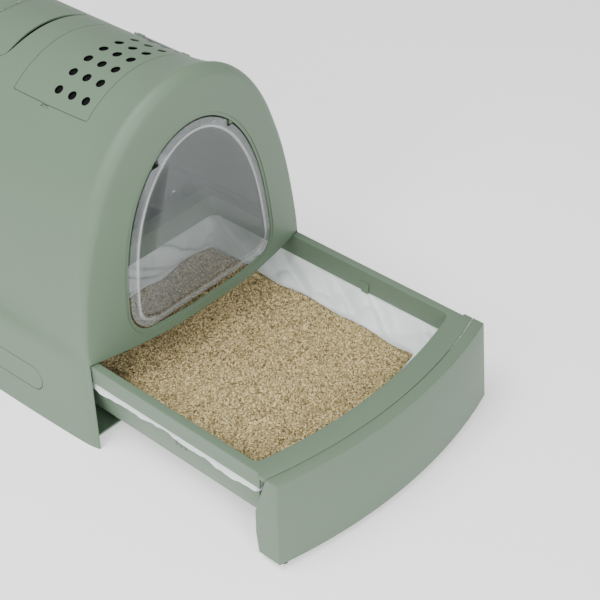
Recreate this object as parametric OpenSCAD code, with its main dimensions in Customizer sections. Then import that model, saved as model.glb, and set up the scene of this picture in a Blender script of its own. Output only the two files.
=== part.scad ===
// Hooded cat litter box with a slide-out litter drawer.
// Millimetres. X across, Y front to back, Z up. The drawer is drawn pulled out, as it stands at rest.
// The modules use the housing's own frame: Y = 0 at the hood's front corners, Z = 0 on the floor.
// place() then moves every sub-part so that the origin is under the middle of the whole assembly.

/* [Overall] */
// Width across the side skirts at the front corners, on the floor
width = 420; // [340:1:520]
// Depth of the hooded housing, front corners to back
depth = 525; // [420:1:660]
// Height of the hood's front rim at its crown
height = 497; // [400:1:620]
// How far the drawer stands pulled out
pull_out = 302; // [200:1:330]
// How far the front bulges at its middle
bow = 30; // [10:1:45]
// How far the sides bulge at half depth
side_bulge = 7; // [0:0.5:15]
// Lean of the sides, in mm a mm of height
side_lean = 0.044; // [0:0.002:0.08]
// Lean of the front, in mm a mm of height
front_lean = 0.036; // [0:0.002:0.08]
// Moulded wall thickness of the housing
wall = 2.4; // [2:0.1:4]
// Inset of the back edge, and the length it turns in over
back_inset = 6; // [2:0.5:10]
back_run = 10; // [4:0.5:20]

/* [Hood] */
// Height of the hood's lower front edge over the drawer's top
mouth_gap = 2; // [1:0.5:8]
// Height of the side bevel's lower edge
bevel_low = 139; // [110:1:160]
// Height of the bevel
bevel_rise = 21; // [5:1:40]
// Step in the skirt's width just behind the front corner, and the length it builds up in
corner_step = 2.5; // [0:0.5:6]
corner_run = 8; // [4:1:30]
// Narrowing of the arch at its crown, as a share of its width
arch_narrowing = 0.15; // [0:0.01:0.3]
// Squareness of the arch
arch_power = 3.1; // [2:0.1:5]
// Drop of the crown behind the front rim, and the length it falls away in
crown_drop = 19; // [0:1:40]
crown_run = 50; // [20:1:150]
// Narrowing of the arch behind the front rim, and the length it does so in
side_drop = 5; // [0:1:20]
side_run = 120; // [20:1:200]
// Rounding of the front rim round the arch, and of the skirts' front edges
rim_round = 16; // [6:1:24]
skirt_round = 4; // [3:0.5:6]

/* [Door] */
// Half width of the door opening near its foot, as a share of the housing's width
door_share = 0.319; // [0.25:0.001:0.36]
// Height of the opening's foot above the mouth
door_sill = 18; // [12:1:60]
// Height of the opening's crown below the rim's crown
door_header = 67; // [40:1:120]
// Width and height of the rounding at the opening's foot
door_corner = 27; // [10:1:40]
door_corner_rise = 35; // [10:1:60]
// Width and depth of the step round the opening
door_step = 5; // [2:0.5:8]
door_step_depth = 1.2; // [0.5:0.1:1.5]
// Squareness of the opening's arch, and its narrowing at the crown
door_power = 2.6; // [2:0.1:4]
door_narrowing = 0.1; // [0:0.01:0.3]
// Gap between the flap and its opening, and how far its face lies behind the rim
flap_gap = 2.5; // [1.5:0.1:5]
flap_sink = 0.3; // [0.2:0.1:1]
// Thickness of the flap
flap_thick = 2.2; // [1.5:0.1:4]
// Distance of the bead from the flap's edge, its width and its rise
bead_inset = 9; // [5:0.5:15]
bead_width = 5; // [3:0.5:10]
bead_rise = 1.6; // [0.5:0.1:4]
// Height of the flap's pivots below the opening's crown
pivot_drop = 32; // [25:1:60]
// Radius of the flap's pivot pins, their length, and how far they lie behind the face
flap_pin_r = 2.5; // [1.5:0.1:4]
flap_pin_length = 31; // [28:1:40]
flap_pin_depth = 8; // [7:0.5:12]
// Radius round the pivots in which the flap's edges are cut away
flap_relief_share = 0.1045; // [0.09:0.001:0.13]
// Radius and length of the flap's hinge lugs, and thickness of the brackets
flap_lug_r = 7; // [5:0.5:7.5]
flap_lug_length = 10; // [6:1:16]
flap_bracket_thick = 10; // [6:1:12]

/* [Filter hatch] */
// Half width of the hatch, as a share of the housing's width
hatch_share = 0.24; // [0.18:0.005:0.27]
// Front edge of the hatch and its length
hatch_front = 66; // [50:1:90]
hatch_length = 147; // [100:1:160]
// Vent holes: diameter, pitch along, distance of the outer holes from the side and front edges
vent_d = 13; // [6:0.5:18]
vent_pitch_y = 26.5; // [18:0.5:32]
vent_side = 19.8; // [14:0.1:40]
vent_first = 22; // [12:1:50]
// Columns and rows of vent holes
vent_columns = 7; // [3:1:7]
vent_rows = 3; // [1:1:4]
// Gap round the hatch and the lid, and along the hatch's hinge
seam_gap = 0.8; // [0.4:0.1:2]
hatch_hinge_gap = 2; // [1.5:0.1:3]
// Thickness of the filter pad, and distance of its holder from the hatch's sides and ends
filter_thick = 8; // [4:0.5:12]
holder_side = 10; // [8:0.5:15]
holder_end = 5; // [3:0.5:10]
// Wall of the filter holder and of the storage bin
holder_wall = 2; // [1.5:0.1:4]
// Length of each hinge knuckle of the hatch and the lid, and radius of their pins
knuckle = 12; // [8:1:16]
hinge_pin_r = 1.5; // [1:0.1:2]
// Distance of the hatch's knuckles from its ends
knuckle_end = 30; // [20:1:45]

/* [Storage lid] */
// Half width of the lid, as a share of the housing's width
lid_share = 0.18; // [0.12:0.005:0.2]
// Distance of the lid's front edge behind the hatch, and the lid's length
lid_behind = 41; // [30:1:60]
lid_length = 80; // [60:1:100]
// Open finger gap ahead of the lid
lid_gap = 7; // [3:0.5:12]
// Depth of the bin under the lid
bin_depth = 95; // [50:1:120]

/* [Side latches] */
// Length and height of the capsule-shaped plate
latch_length = 190; // [100:1:240]
latch_height = 38; // [24:1:50]
// Distance of its front end behind the front corner, and the height of its middle
latch_front = 99; // [60:1:140]
latch_z = 67; // [50:1:90]
// Gap round the plate
latch_gap = 1.1; // [0.9:0.1:2]
// Depth of the pivot below the plate's upper edge, and radius of its pin
latch_pivot_drop = 4; // [3:0.5:8]
latch_pin_r = 1.5; // [1:0.1:2]
// Distance of the plate's eyes from its ends, and their length
latch_eye_end = 45; // [30:1:70]
latch_eye = 10; // [6:1:14]

/* [Base] */
// Thickness of the pan's floor and walls
pan_thick = 3; // [2:0.1:5]
// Height of the pan's underside above the ground, and of its side walls
pan_clear = 8; // [6:0.5:20]
pan_wall = 34; // [20:1:38]
// Space between the pan and the skirts, and distance of its front edge behind the front corners
pan_gap = 4; // [2:0.5:10]
pan_front = 10; // [5:1:20]
// Foot diameter and distance of its middle from the pan's edges
foot_d = 26; // [15:1:40]
foot_inset = 22; // [18:1:40]
// Width of a drawer runner, its wall, and distance of its middle from the pan's side
runner_width = 18; // [10:1:30]
runner_wall = 2; // [1.5:0.1:3]
runner_inset = 52; // [46:1:100]

/* [Drawer] */
// Height of the frame's top face
frame_top = 141; // [110:1:160]
// How much shorter the drawer is than the housing
drawer_short = 15; // [10:1:60]
// Space between the frame and the skirts
frame_clear = 1.2; // [0.8:0.1:3]
// Widths of the frame's sides, front band and rear band
frame_side = 11.7; // [10.5:0.1:25]
frame_front = 33; // [28:1:50]
frame_rear = 26; // [15:1:40]
// Drop of the frame's outer and inner aprons below its top
apron_outer = 28; // [15:1:32]
apron_inner = 35; // [28:1:45]
// Thickness of the frame
frame_thick = 2.3; // [2:0.1:3]
// Rounding of the frame's inner corners
frame_corner = 12; // [6:1:20]
// Length of the frame's flared front corners
tip_length = 14; // [8:1:20]
// Height of the tray's underside, and drop of its rim below the frame's top
tray_bottom = 50; // [45:1:60]
rim_drop = 6; // [4.5:0.5:10]
// Tray wall thickness, and inward draft from collar to floor
tray_thick = 2.2; // [2:0.1:3]
tray_draft = 11; // [2:1:25]
// Front panel: thickness at the top, wall, height of its bottom edge
panel_thick = 17.5; // [12:0.5:30]
panel_wall = 3; // [2:0.1:5]
panel_bottom = 10.5; // [5:0.5:25]
// Diameter of the glides under the panel
glide_d = 10; // [6:1:12]
// Length and height of the clips between the panel and the tray, and their wall
clip_length = 28; // [16:1:40]
clip_height = 16; // [10:1:20]
clip_wall = 3; // [2:0.5:4]
// Height of the panel's wings, and how far they reach back past the frame's corners
wing_high = 78; // [60:1:100]
wing_low = 42; // [30:1:50]
wing_reach = 19; // [12:1:22]

/* [Bag and litter] */
// Bag film, drawn thicker than it is so that it is a solid
film = 0.6; // [0.4:0.1:1]
// Free space kept between the bag or litter and hard pieces
soft_gap = 0.4; // [0.3:0.05:1]
// Space between the bag and the frame's inner apron, at the front and at the back
bag_space_front = 3.5; // [2:0.5:6]
bag_space_back = 10.5; // [2:0.5:12]
// How far the bag's hem shows under the outer apron
hem = 7; // [2:0.5:12]
// Tabs that pin the bag: radius, reach below the apron, thickness, distance behind the frame's front corners
tab_r = 7; // [4:0.5:10]
tab_reach = 3; // [1:0.5:4]
tab_thick = 1.6; // [1:0.1:3]
tab_back = 179; // [100:1:300]
// Height of the crease where the slack bag meets the litter's edge, and its distance in from the tray's wall
crease_z = 80; // [70:1:95]
bag_slack = 42; // [10:1:60]
// Height of the litter's surface over the crease
litter_rise = 3; // [0:1:10]
// Depth of the hollow and height of the mound in the litter
litter_hollow = 7; // [0:1:15]
litter_mound = 9; // [0:1:15]

/* [Hidden] */
// Facets of a round piece, running clearance of a pin, space between pieces that nearly touch,
// and how far a cut runs past the surface
fine = 48;
running = 0.06;
touch = 0.3;
past = 1;
// How far two shapes of one piece sink into each other
join = 0.01;
// How far the bag draws in from its crease to the floor
bag_foot = 8;
// Gap between the frame and the front panel, and how far the glides stand back from mid-panel
seat = 0.4;
glide_shift = 3;
half = width / 2;
corner_half = half - side_lean * frame_top;
frame_half = corner_half - wall - frame_clear;
bow_radius = (pow(corner_half, 2) + pow(bow, 2)) / (2 * bow);
front_y = -pull_out - wing_reach;
bow_centre = front_y - bow + bow_radius;
lean_angle = atan(front_lean);
mouth_z = frame_top + mouth_gap;
bevel_high = bevel_low + bevel_rise;
door_half = width * door_share;
door_foot = mouth_z + door_sill;
door_crown = height - door_header;
pivot_z = door_crown - pivot_drop;
door_shoulder = door_foot + door_corner_rise;
hatch_half = width * hatch_share;
hatch_rear = hatch_front + hatch_length;
lid_half = width * lid_share;
lid_front = hatch_rear + lid_behind;
lid_rear = lid_front + lid_length;
vent_pitch_x = 2 * (hatch_half - vent_side) / (vent_columns - 1);
pan_half = half - wall - pan_gap - side_lean * pan_wall;
pan_back = depth - wall - pan_gap;
runner_x = pan_half - runner_inset;
drawer_length = depth - drawer_short;
tray_half = frame_half - frame_side + frame_thick + 2 * soft_gap + film + tray_thick;
collar_z = frame_top - apron_inner - 2;
tray_rim = frame_top - rim_drop;
lining = tray_thick + soft_gap + film;
tray_front = frame_front - frame_thick - bag_space_front - lining;
tray_back = frame_rear - frame_thick - bag_space_back - lining;
tray_floor = tray_bottom + tray_thick + 0.8;
latch_pivot_z = latch_z + latch_height / 2 - latch_pivot_drop;
green = [0.55, 0.62, 0.55];
dark = [0.12, 0.12, 0.12];
steel = [0.7, 0.7, 0.72];
clear = [0.85, 0.88, 0.9, 0.35];

// ---- shape of the housing -------------------------------------------------------------------

// The bow of the front across the width: zero at the front corners, negative (forward) between.
function bow_y(x) = bow_radius - bow - sqrt(pow(bow_radius, 2) - x * x);
function face_y(x, z) = bow_y(x) + front_lean * (z - frame_top);

// Half width of the skirts at a distance behind the front corners, on the floor.
function skirt_half(y) =
    half + corner_step * (1 - exp(-max(y, 0) / corner_run))
    + side_bulge * (1 - pow(1 - max(y, 0) * 2 / depth, 2));
function arch_half(y) =
    half - side_lean * bevel_high - side_drop * (1 - exp(-max(y, 0) / side_run));
function crown_z(y) = height - crown_drop * (1 - exp(-max(y, 0) / crown_run));

// A point of the arch at angle a, for a surface that lies t inside the outer one.
function arch_point(y, t, a) =
    let (s = pow(sin(a), 2 / arch_power))
    [(arch_half(y) - t) * (1 - arch_narrowing * s) * cos(a),
     bevel_high + (crown_z(y) - t - bevel_high) * s];

// Height of that surface over a place x, by the arch's own angle.
function roof_angle(x, y, t, low = 0, high = 90, n = 24) =
    let (mid = (low + high) / 2)
    n == 0 ? mid
    : arch_point(y, t, mid)[0] > x ? roof_angle(x, y, t, mid, high, n - 1)
    : roof_angle(x, y, t, low, mid, n - 1);
function roof_z(x, y, t = 0) = arch_point(y, t, roof_angle(abs(x), y, t))[1];

// One closed cross-section as [x, z, rounding]: skirt, bevel, arch, bevel, skirt.
// The rounding of the front edge grows from the skirts' to the rim's in the arch's first part.
arch_steps = 30;
rounding_rise = 2.5;
function section(y, t, foot_z) =
    let (w = skirt_half(y) - t)
    concat(
        [[w, foot_z, skirt_round], [w - side_lean * bevel_low, bevel_low, skirt_round]],
        [for (i = [0:arch_steps])
            let (a = 180 * i / arch_steps, p = arch_point(y, t, a))
            [p[0], p[1], skirt_round + (rim_round - skirt_round) * min(1, rounding_rise * sin(a))]],
        [[-w + side_lean * bevel_low, bevel_low, skirt_round], [-w, foot_z, skirt_round]]
    );

// A ring on the front: the section drawn in by the rim's rounding at angle a, lying on the bowed face.
face_middle = height * 0.4;
function rim_ring(t, foot_z, a) =
    [for (p = section(0, t, foot_z))
        let (r = p[2] - t, up = p[1] - face_middle, k = 1 - r * (1 - sin(a)) / norm([p[0], up]),
             x = p[0] * k, z = face_middle + up * (up < 0 ? 1 : k))
        [x, face_y(x, z) + t + r * (1 - cos(a)), z]];

// A ring inside the rim, shrunk by k towards the middle of the face.
function face_ring(t, foot_z, k) =
    [for (p = rim_ring(t, foot_z, 0))
        let (x = p[0] * k, z = face_middle + (p[2] - face_middle) * k) [x, face_y(x, z) + t, z]];

function plain_ring(y, t, foot_z, back = 0) = [for (p = section(y, t + back, foot_z)) [p[0], y, p[1]]];

// Depths of the cross-sections, from just behind the front rim to where the back edge turns in.
rim_end = rim_round + front_lean * (height - frame_top) + past;
station_shares = [0, 0.04, 0.09, 0.165, 0.27, 0.43, 0.64, 0.85, 1];
stations = [for (s = station_shares) rim_end + s * (depth - back_run - rim_end)];

// The housing's outline as a solid that lies t inside the outer surface.
module housing(t) {
    foot_z = t > 0 ? -past : 0;
    skin(concat(
        [for (k = [0.05, 0.4, 0.75]) face_ring(t, foot_z, k)],
        [for (a = [0:22.5:90]) rim_ring(t, foot_z, a)],
        [for (y = stations) plain_ring(y, t, foot_z)],
        [plain_ring(depth - t, t, foot_z, back_inset)]
    ));
}

// Closed solid through a list of rings that all have the same number of points.
module skin(rings) {
    n = len(rings[0]);
    last = len(rings) - 1;
    polyhedron(
        points = [for (ring = rings) each ring],
        faces = concat(
            [[for (j = [0:n - 1]) n - 1 - j]],
            [for (i = [0:last - 1], j = [0:n - 1])
                each [[i * n + j, i * n + (j + 1) % n, (i + 1) * n + j],
                      [i * n + (j + 1) % n, (i + 1) * n + (j + 1) % n, (i + 1) * n + j]]],
            [[for (j = [0:n - 1]) last * n + j]]
        )
    );
}

// The layer of the housing between two depths.
module layer(from, to) {
    difference() {
        housing(from);
        housing(to);
    }
}

// Evaluates its children as one mesh.
module meshed() resize([0, 0, 0]) children();

module rod_x(r, from, to) translate([from, 0, 0]) rotate([0, 90, 0]) cylinder(r = r, h = to - from, $fn = fine);
module rod_y(r, from, to) translate([0, from, 0]) rotate([-90, 0, 0]) cylinder(r = r, h = to - from, $fn = fine);
module block(low, high) translate(low) cube(high - low);

// A vertical block with rounded corners, from (x0, y0) to (x1, y1).
module roof_window(x0, x1, y0, y1, r) {
    translate([0, 0, height / 2]) linear_extrude(height)
        offset(r = r, $fn = 16) translate([x0 + r, y0 + r]) square([x1 - x0 - 2 * r, y1 - y0 - 2 * r]);
}

// ---- hood -----------------------------------------------------------------------------------

// Outline of the door opening in X and Z, drawn in by inset.
function door_outline(inset) =
    let (w = door_half - inset, foot = door_foot + inset, c = door_corner, steps = 36)
    concat(
        [for (a = [0:15:75]) [w - c + c * sin(a), door_shoulder - (door_shoulder - foot) * cos(a)]],
        [for (i = [0:steps]) door_arch(inset, 180 * i / steps)],
        [for (a = [75:-15:0]) [-w + c - c * sin(a), door_shoulder - (door_shoulder - foot) * cos(a)]]
    );
function door_arch(inset, a) =
    let (s = pow(sin(a), 2 / door_power))
    [(door_half - inset) * (1 - door_narrowing * s) * cos(a),
     door_shoulder + (door_crown - inset - door_shoulder) * s];
// Half width of the opening at the height of the flap's pivots.
pivot_angle = asin(pow((pivot_z - door_shoulder) / (door_crown - door_shoulder), door_power / 2));
pivot_half = door_arch(0, pivot_angle)[0];

// The opening as a block that runs through the whole front wall.
face_reach = bow + rim_round + front_lean * height;
module through_face() {
    translate([0, face_reach, 0]) rotate([90, 0, 0]) linear_extrude(2 * face_reach) children();
}
module door_prism(inset) through_face() polygon(door_outline(inset));
module door_ring(outer, inner) {
    difference() {
        door_prism(outer);
        door_prism(inner);
    }
}

// The capsule of a side latch, as a block across the whole width, grown by gap.
module latch_capsule(gap) {
    r = latch_height / 2;
    translate([0, latch_front + r, latch_z]) hull() {
        rod_x(r + gap, 0, half * 2);
        translate([0, latch_length - 2 * r, 0]) rod_x(r + gap, 0, half * 2);
    }
}

// The front opening under the face, between the skirts.
module mouth() {
    low = half - wall;
    high = low - side_lean * mouth_z;
    through_face() polygon([[-low, -past], [low, -past], [high, mouth_z], [-high, mouth_z]]);
}

// Hinge line of the hatch: along Y on the roof's surface at its right edge.
hatch_axis = [hatch_half, 0, roof_z(hatch_half, hatch_front + knuckle_end)];
// Hinge line of the storage lid: along X on the crown at its rear edge.
lid_axis = [0, lid_rear, crown_z(lid_rear)];
hatch_knuckle_r = hinge_pin_r + 2.2;
lid_knuckle_r = hinge_pin_r + 1.1;
ear = 5;
hatch_ear_r = 4.6;
lid_ear_r = 3.6;
ear_shift = 1.5;
hatch_corner = 3;
lid_corner = 12;

module hood_shell() color(green) meshed() {
    difference() {
        layer(0, wall);
        mouth();
        door_prism(0);
        difference() {
            door_prism(-door_step);
            housing(door_step_depth);
        }
        roof_window(-hatch_half, hatch_half + touch, hatch_front, hatch_rear, hatch_corner);
        roof_window(-lid_half, lid_half, lid_front + lid_gap - end_gap, lid_rear + touch, lid_corner);
        finger_gap();
        for (side = [0, 1]) mirror([side, 0, 0]) latch_capsule(latch_gap);
        finger_notch();
        for (y = hatch_knuckle_y) hatch_barrel(y, hatch_knuckle_r + touch, knuckle + 2 * touch);
        hatch_rod(hinge_pin_r + touch, past);
        translate(lid_axis) rod_x(lid_knuckle_r + touch, -knuckle, knuckle);
        lid_rod(hinge_pin_r + touch, past);
    }
    hatch_ears();
    lid_ears();
}

// Opening for a fingertip ahead of the storage lid: half an ellipse, widest in the middle.
end_gap = 1.5;
module finger_gap() {
    translate([0, lid_front + lid_gap, 0]) scale([lid_half * 0.9, lid_gap, 1])
        cylinder(r = 1, h = height + past, $fn = 48);
}

// Recess for a fingertip beside the hatch's left edge.
module finger_notch() {
    y = hatch_front + hatch_length * 0.55;
    translate([-hatch_half, y, roof_z(hatch_half, y)]) rotate([0, -45, 0])
        cylinder(r = 9, h = 5 * wall, center = true, $fn = 3);
}

hatch_knuckle_y = [hatch_front + knuckle_end, hatch_rear - knuckle_end];
module hatch_barrel(y, r, length) translate(hatch_axis) rod_y(r, y - length / 2, y + length / 2);
// The pin's line through both knuckles and their ears, longer by extra at each end.
module hatch_rod(r, extra) {
    reach = knuckle / 2 + ear + 2 + extra;
    translate(hatch_axis) rod_y(r, hatch_knuckle_y[0] - reach, hatch_knuckle_y[1] + reach);
}

// Ears on the hood beside each knuckle; they sit a little outside the pin, deeper in the wall.
module hatch_ears() {
    at_hatch_ears() difference() {
        translate([ear_shift, 0, -ear_shift]) rod_y(hatch_ear_r, -ear / 2, ear / 2);
        rod_y(hinge_pin_r + running, -ear, ear);
    }
}
module at_hatch_ears() {
    for (y = hatch_knuckle_y, side = [-1, 1])
        translate([hatch_axis[0], y + side * (knuckle + ear + 2) / 2, hatch_axis[2]]) children();
}
// Room for an ear in the panel that swings round it.
module hatch_ear_room() rod_y(hatch_ear_r + 1.5 * ear_shift + touch, -ear / 2 - touch, ear / 2 + touch);
module lid_ear_room() rod_x(lid_ear_r + 1.5 * ear_shift + touch, -ear / 2 - touch, ear / 2 + touch);
module hatch_pin() color(steel) {
    hatch_rod(hinge_pin_r, 0);
}

module lid_ears() {
    at_lid_ears() difference() {
        translate([0, 1, -ear_shift]) rod_x(lid_ear_r, -ear / 2, ear / 2);
        rod_x(hinge_pin_r + running, -ear, ear);
    }
}
module at_lid_ears() {
    for (side = [-1, 1]) translate([side * (knuckle + ear / 2 + 1), lid_axis[1], lid_axis[2]]) children();
}
module lid_rod(r, extra) {
    reach = knuckle + ear + 1 + extra;
    translate(lid_axis) rod_x(r, -reach, reach);
}
module lid_pin() color(steel) lid_rod(hinge_pin_r, 0);

// ---- door flap ------------------------------------------------------------------------------

flap_axis_y = face_y(pivot_half, pivot_z) + flap_pin_depth;
flap_pin_x = pivot_half - 5;
flap_lug_x = flap_pin_x - flap_pin_length / 2 + flap_lug_length / 2;
module flap_panel() color(clear) meshed() {
    difference() {
        union() {
            intersection() {
                door_prism(flap_gap);
                layer(flap_sink, flap_sink + flap_thick);
            }
            intersection() {
                door_ring(flap_gap + bead_inset, flap_gap + bead_inset + bead_width);
                layer(flap_sink - bead_rise, flap_sink + join * 10);
            }
            for (side = [-1, 1]) translate([side * flap_lug_x, flap_axis_y, pivot_z])
                rod_x(flap_lug_r, -flap_lug_length / 2, flap_lug_length / 2);
        }
        translate([0, flap_axis_y, pivot_z]) rod_x(flap_pin_r + running, -door_half, door_half);
        for (side = [-1, 1]) translate([side * (pivot_half + 4), flap_axis_y, pivot_z])
            rod_x(flap_relief_share * door_half, -12, 12);
    }
}
module flap_pin(side) color(clear) {
    translate([side * flap_pin_x, flap_axis_y, pivot_z])
        rod_x(flap_pin_r, -flap_pin_length / 2, flap_pin_length / 2);
}
module flap_bracket(side) color(green) {
    rise = 8;
    far = flap_pin_x + flap_pin_length / 2;
    near = far - flap_bracket_thick;
    front = face_y(far, pivot_z + rise) + wall + touch;
    mirror([side > 0 ? 0 : 1, 0, 0]) translate([0, 0, pivot_z]) difference() {
        block([near, front, -rise], [far, flap_axis_y + 6, rise]);
        translate([0, flap_axis_y, 0]) rod_x(flap_pin_r + running, 0, 2 * far);
    }
}

// ---- filter hatch ---------------------------------------------------------------------------

// The holes point away from a line this far under the crown.
vent_focus = height * 0.34;
module vents(r) {
    for (i = [0:vent_columns - 1], j = [0:vent_rows - 1]) {
        x = (i - (vent_columns - 1) / 2) * vent_pitch_x;
        y = hatch_front + vent_first + j * vent_pitch_y;
        translate([x, y, roof_z(x, y)]) rotate([0, atan(x / vent_focus), 0])
            cylinder(r = r, h = 5 * vent_d, center = true, $fn = 32);
    }
}
module hatch_panel() color(green) meshed() {
    difference() {
        union() {
            intersection() {
                layer(0, wall);
                roof_window(-hatch_half + seam_gap, hatch_half - hatch_hinge_gap,
                            hatch_front + seam_gap, hatch_rear - seam_gap, hatch_corner - seam_gap);
            }
            for (y = hatch_knuckle_y) {
                hatch_barrel(y, hatch_knuckle_r, knuckle);
                translate(hatch_axis + [0, y - knuckle / 2, 0]) rotate([0, 45, 0])
                    block([-9, 0, 0], [0, knuckle, holder_wall]);
            }
        }
        vents(vent_d / 2);
        finger_notch();
        translate(hatch_axis) rod_y(hinge_pin_r + running, 0, depth);
        at_hatch_ears() hatch_ear_room();
    }
}

// A curved tray that follows the roof's underside, with slots under the filter.
filter_depth = wall + 1.5;
holder_corner = 6;
slot_length = 20;
slot_width = 12;
slot_pitch = 25;
// A block of the holder's outline, drawn in by inset.
module holder_window(inset) {
    x = hatch_half - holder_side - inset;
    roof_window(-x, x, hatch_front + holder_end + inset, hatch_rear - holder_end - inset, holder_corner - inset);
}
module filter_holder() color(green) meshed() {
    below = filter_depth + filter_thick + touch;
    first = hatch_front + holder_end + slot_pitch * 0.7;
    last = hatch_rear - holder_end - slot_pitch * 0.7;
    difference() {
        intersection() {
            layer(wall + touch, below + holder_wall);
            holder_window(0);
        }
        intersection() {
            layer(wall - past, below);
            holder_window(holder_wall);
        }
        for (i = [0:vent_columns - 1], y = [first:slot_pitch:last])
            translate([(i - (vent_columns - 1) / 2) * vent_pitch_x, y, height * 0.75])
                cube([slot_length, slot_width, height / 2], center = true);
    }
}
module carbon_filter() color(dark) meshed() {
    intersection() {
        layer(filter_depth, filter_depth + filter_thick);
        holder_window(holder_wall + soft_gap);
    }
}

// ---- storage compartment --------------------------------------------------------------------

module storage_lid() color(green) meshed() {
    difference() {
        union() {
            intersection() {
                layer(0, wall);
                roof_window(-lid_half + seam_gap, lid_half - seam_gap,
                            lid_front + lid_gap, lid_rear - seam_gap, lid_corner - seam_gap);
            }
            translate(lid_axis) {
                rod_x(lid_knuckle_r, -knuckle + touch, knuckle - touch);
                block([-knuckle + touch, -6, -2], [knuckle - touch, 0, -0.2]);
            }
        }
        translate(lid_axis) rod_x(hinge_pin_r + running, -2 * knuckle, 2 * knuckle);
        at_lid_ears() lid_ear_room();
    }
}
module storage_bin() color(green) meshed() {
    floor_z = crown_z(lid_rear) - bin_depth;
    difference() {
        intersection() {
            housing(wall + touch);
            bin_window(0);
            block([-half, 0, floor_z], [half, depth, height]);
        }
        intersection() {
            bin_window(holder_wall);
            block([-half, 0, floor_z + holder_wall], [half, depth, height * 2]);
        }
    }
}
// A block of the bin's outline, drawn in by inset; its back clears the lid's hinge.
module bin_window(inset) {
    x = lid_half - 4 - inset;
    roof_window(-x, x, lid_front + 2 + inset, lid_rear - lid_ear_r - 2.4 - inset, 10 - inset);
}

// ---- side latches ---------------------------------------------------------------------------

// Drawn for the right side and mirrored.
latch_eye_y = [latch_front + latch_eye_end, latch_front + latch_length - latch_eye_end];
latch_eye_r = latch_pin_r + 1.6;
latch_pin_x = skirt_half(latch_front) - side_lean * latch_z - wall - latch_pin_r - 1.2;
bracket_thick = 6;
bracket_gap = 1;
bracket_reach = latch_eye / 2 + bracket_gap + bracket_thick;
module latch_side(side) mirror([side > 0 ? 0 : 1, 0, 0]) children();

module latch_plate(side) color(green) meshed() latch_side(side) {
    difference() {
        union() {
            intersection() {
                layer(0, wall);
                latch_capsule(0);
            }
            for (y = latch_eye_y) translate([latch_pin_x, 0, latch_pivot_z]) {
                rod_y(latch_eye_r, y - latch_eye / 2, y + latch_eye / 2);
                block([0, y - latch_eye / 2, -latch_eye_r],
                      [skirt_half(y) - side_lean * latch_pivot_z - latch_pin_x - wall / 2, y + latch_eye / 2, 0]);
            }
        }
        translate([latch_pin_x, 0, latch_pivot_z]) rod_y(latch_pin_r + running, 0, depth);
    }
}
module latch_pin(side) color(steel) latch_side(side) {
    translate([latch_pin_x, 0, latch_pivot_z])
        rod_y(latch_pin_r, latch_eye_y[0] - bracket_reach - 2, latch_eye_y[1] + bracket_reach + 2);
}
module latch_bracket(side) color(green) latch_side(side) {
    back = 4;
    rise = 18;
    first = latch_eye_y[0] - bracket_reach;
    last = latch_eye_y[1] + bracket_reach;
    translate([latch_pin_x, 0, latch_pivot_z]) difference() {
        union() {
            for (y = [first, last - bracket_thick])
                block([-back, y, -back], [latch_pin_r + 0.4, y + bracket_thick, rise]);
            block([-back, first, rise - bracket_thick], [-latch_pin_r, last, rise]);
        }
        rod_y(latch_pin_r + running, 0, depth);
    }
}

// ---- base -----------------------------------------------------------------------------------

module base_pan() color(green) {
    translate([0, 0, pan_clear]) difference() {
        block([-pan_half, pan_front, 0], [pan_half, pan_back, pan_wall]);
        block([-pan_half + pan_thick, pan_front - past, pan_thick],
              [pan_half - pan_thick, pan_back - pan_thick, pan_wall + past]);
    }
}
module foot(x_side, y) color(dark) {
    translate([x_side * (pan_half - foot_inset), y, 0]) cylinder(d = foot_d, h = pan_clear, $fn = fine);
}

// A channel standing on the pan, which the tray's floor slides on.
module runner(side) color(green) {
    low = pan_clear + pan_thick;
    high = tray_bottom - touch;
    out = runner_width / 2;
    in = out - runner_wall;
    translate([side * runner_x, 0, 0]) difference() {
        block([-out, pan_front + 2, low], [out, pan_back - 10, high]);
        block([-in, pan_front, low - past], [in, pan_back, high - runner_wall]);
    }
}

// ---- drawer ---------------------------------------------------------------------------------

// Plan outline with a bowed front: half width, distance in from the bowed front, distance in from the back.
module plan(w, front, back) {
    intersection() {
        translate([-w, front_y - 2 * bow]) square([2 * w, drawer_length + 2 * bow - back]);
        translate([0, bow_centre]) circle(bow_radius - front, $fn = 360);
    }
}
module slab(z, h) translate([0, 0, z]) linear_extrude(h) children();
module plan_ring(z, h, w, front, back, t) {
    slab(z, h) difference() {
        plan(w, front, back);
        plan(w - t, front + t, back + t);
    }
}

// Plan of the tray's collar, drawn in by inset.
module tray_plan(inset) plan(tray_half - inset, tray_front + inset, tray_back + inset);

// A tub with drafted sides, closed at the bottom; inset draws it in everywhere.
module tub(inset, floor_z) {
    hull() {
        slab(collar_z - join, join) tray_plan(inset);
        slab(floor_z, join) tray_plan(inset + tray_draft);
    }
}

module drawer_tray() color(green) {
    plan_ring(collar_z - join, tray_rim - collar_z + join, tray_half, tray_front, tray_back, tray_thick);
    difference() {
        tub(0, tray_bottom);
        translate([0, 0, join]) tub(tray_thick, tray_floor);
    }
}

// The panel's outline from the side, which its wings follow; grown backwards by extra.
module wing_profile(extra) {
    back = -pull_out - seat + extra;
    rotate([90, 0, 90]) linear_extrude(width * 1.5, center = true)
        polygon([[-depth, panel_bottom], [-depth, frame_top], [front_y - seat + extra, frame_top],
                 [back, wing_high], [back, wing_low], [back - 4.6, panel_bottom]]);
}
// The panel's outline from the front, drawn in by inset.
module panel_profile(inset) {
    high = frame_top - inset;
    low = panel_bottom + inset;
    rotate([90, 0, 0]) linear_extrude(width * 3, center = true)
        polygon([[-side_at(low) + inset, low], [side_at(low) - inset, low],
                 [side_at(high) - inset, high], [-side_at(high) + inset, high]]);
}
function side_at(z) = half - side_lean * z;

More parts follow.
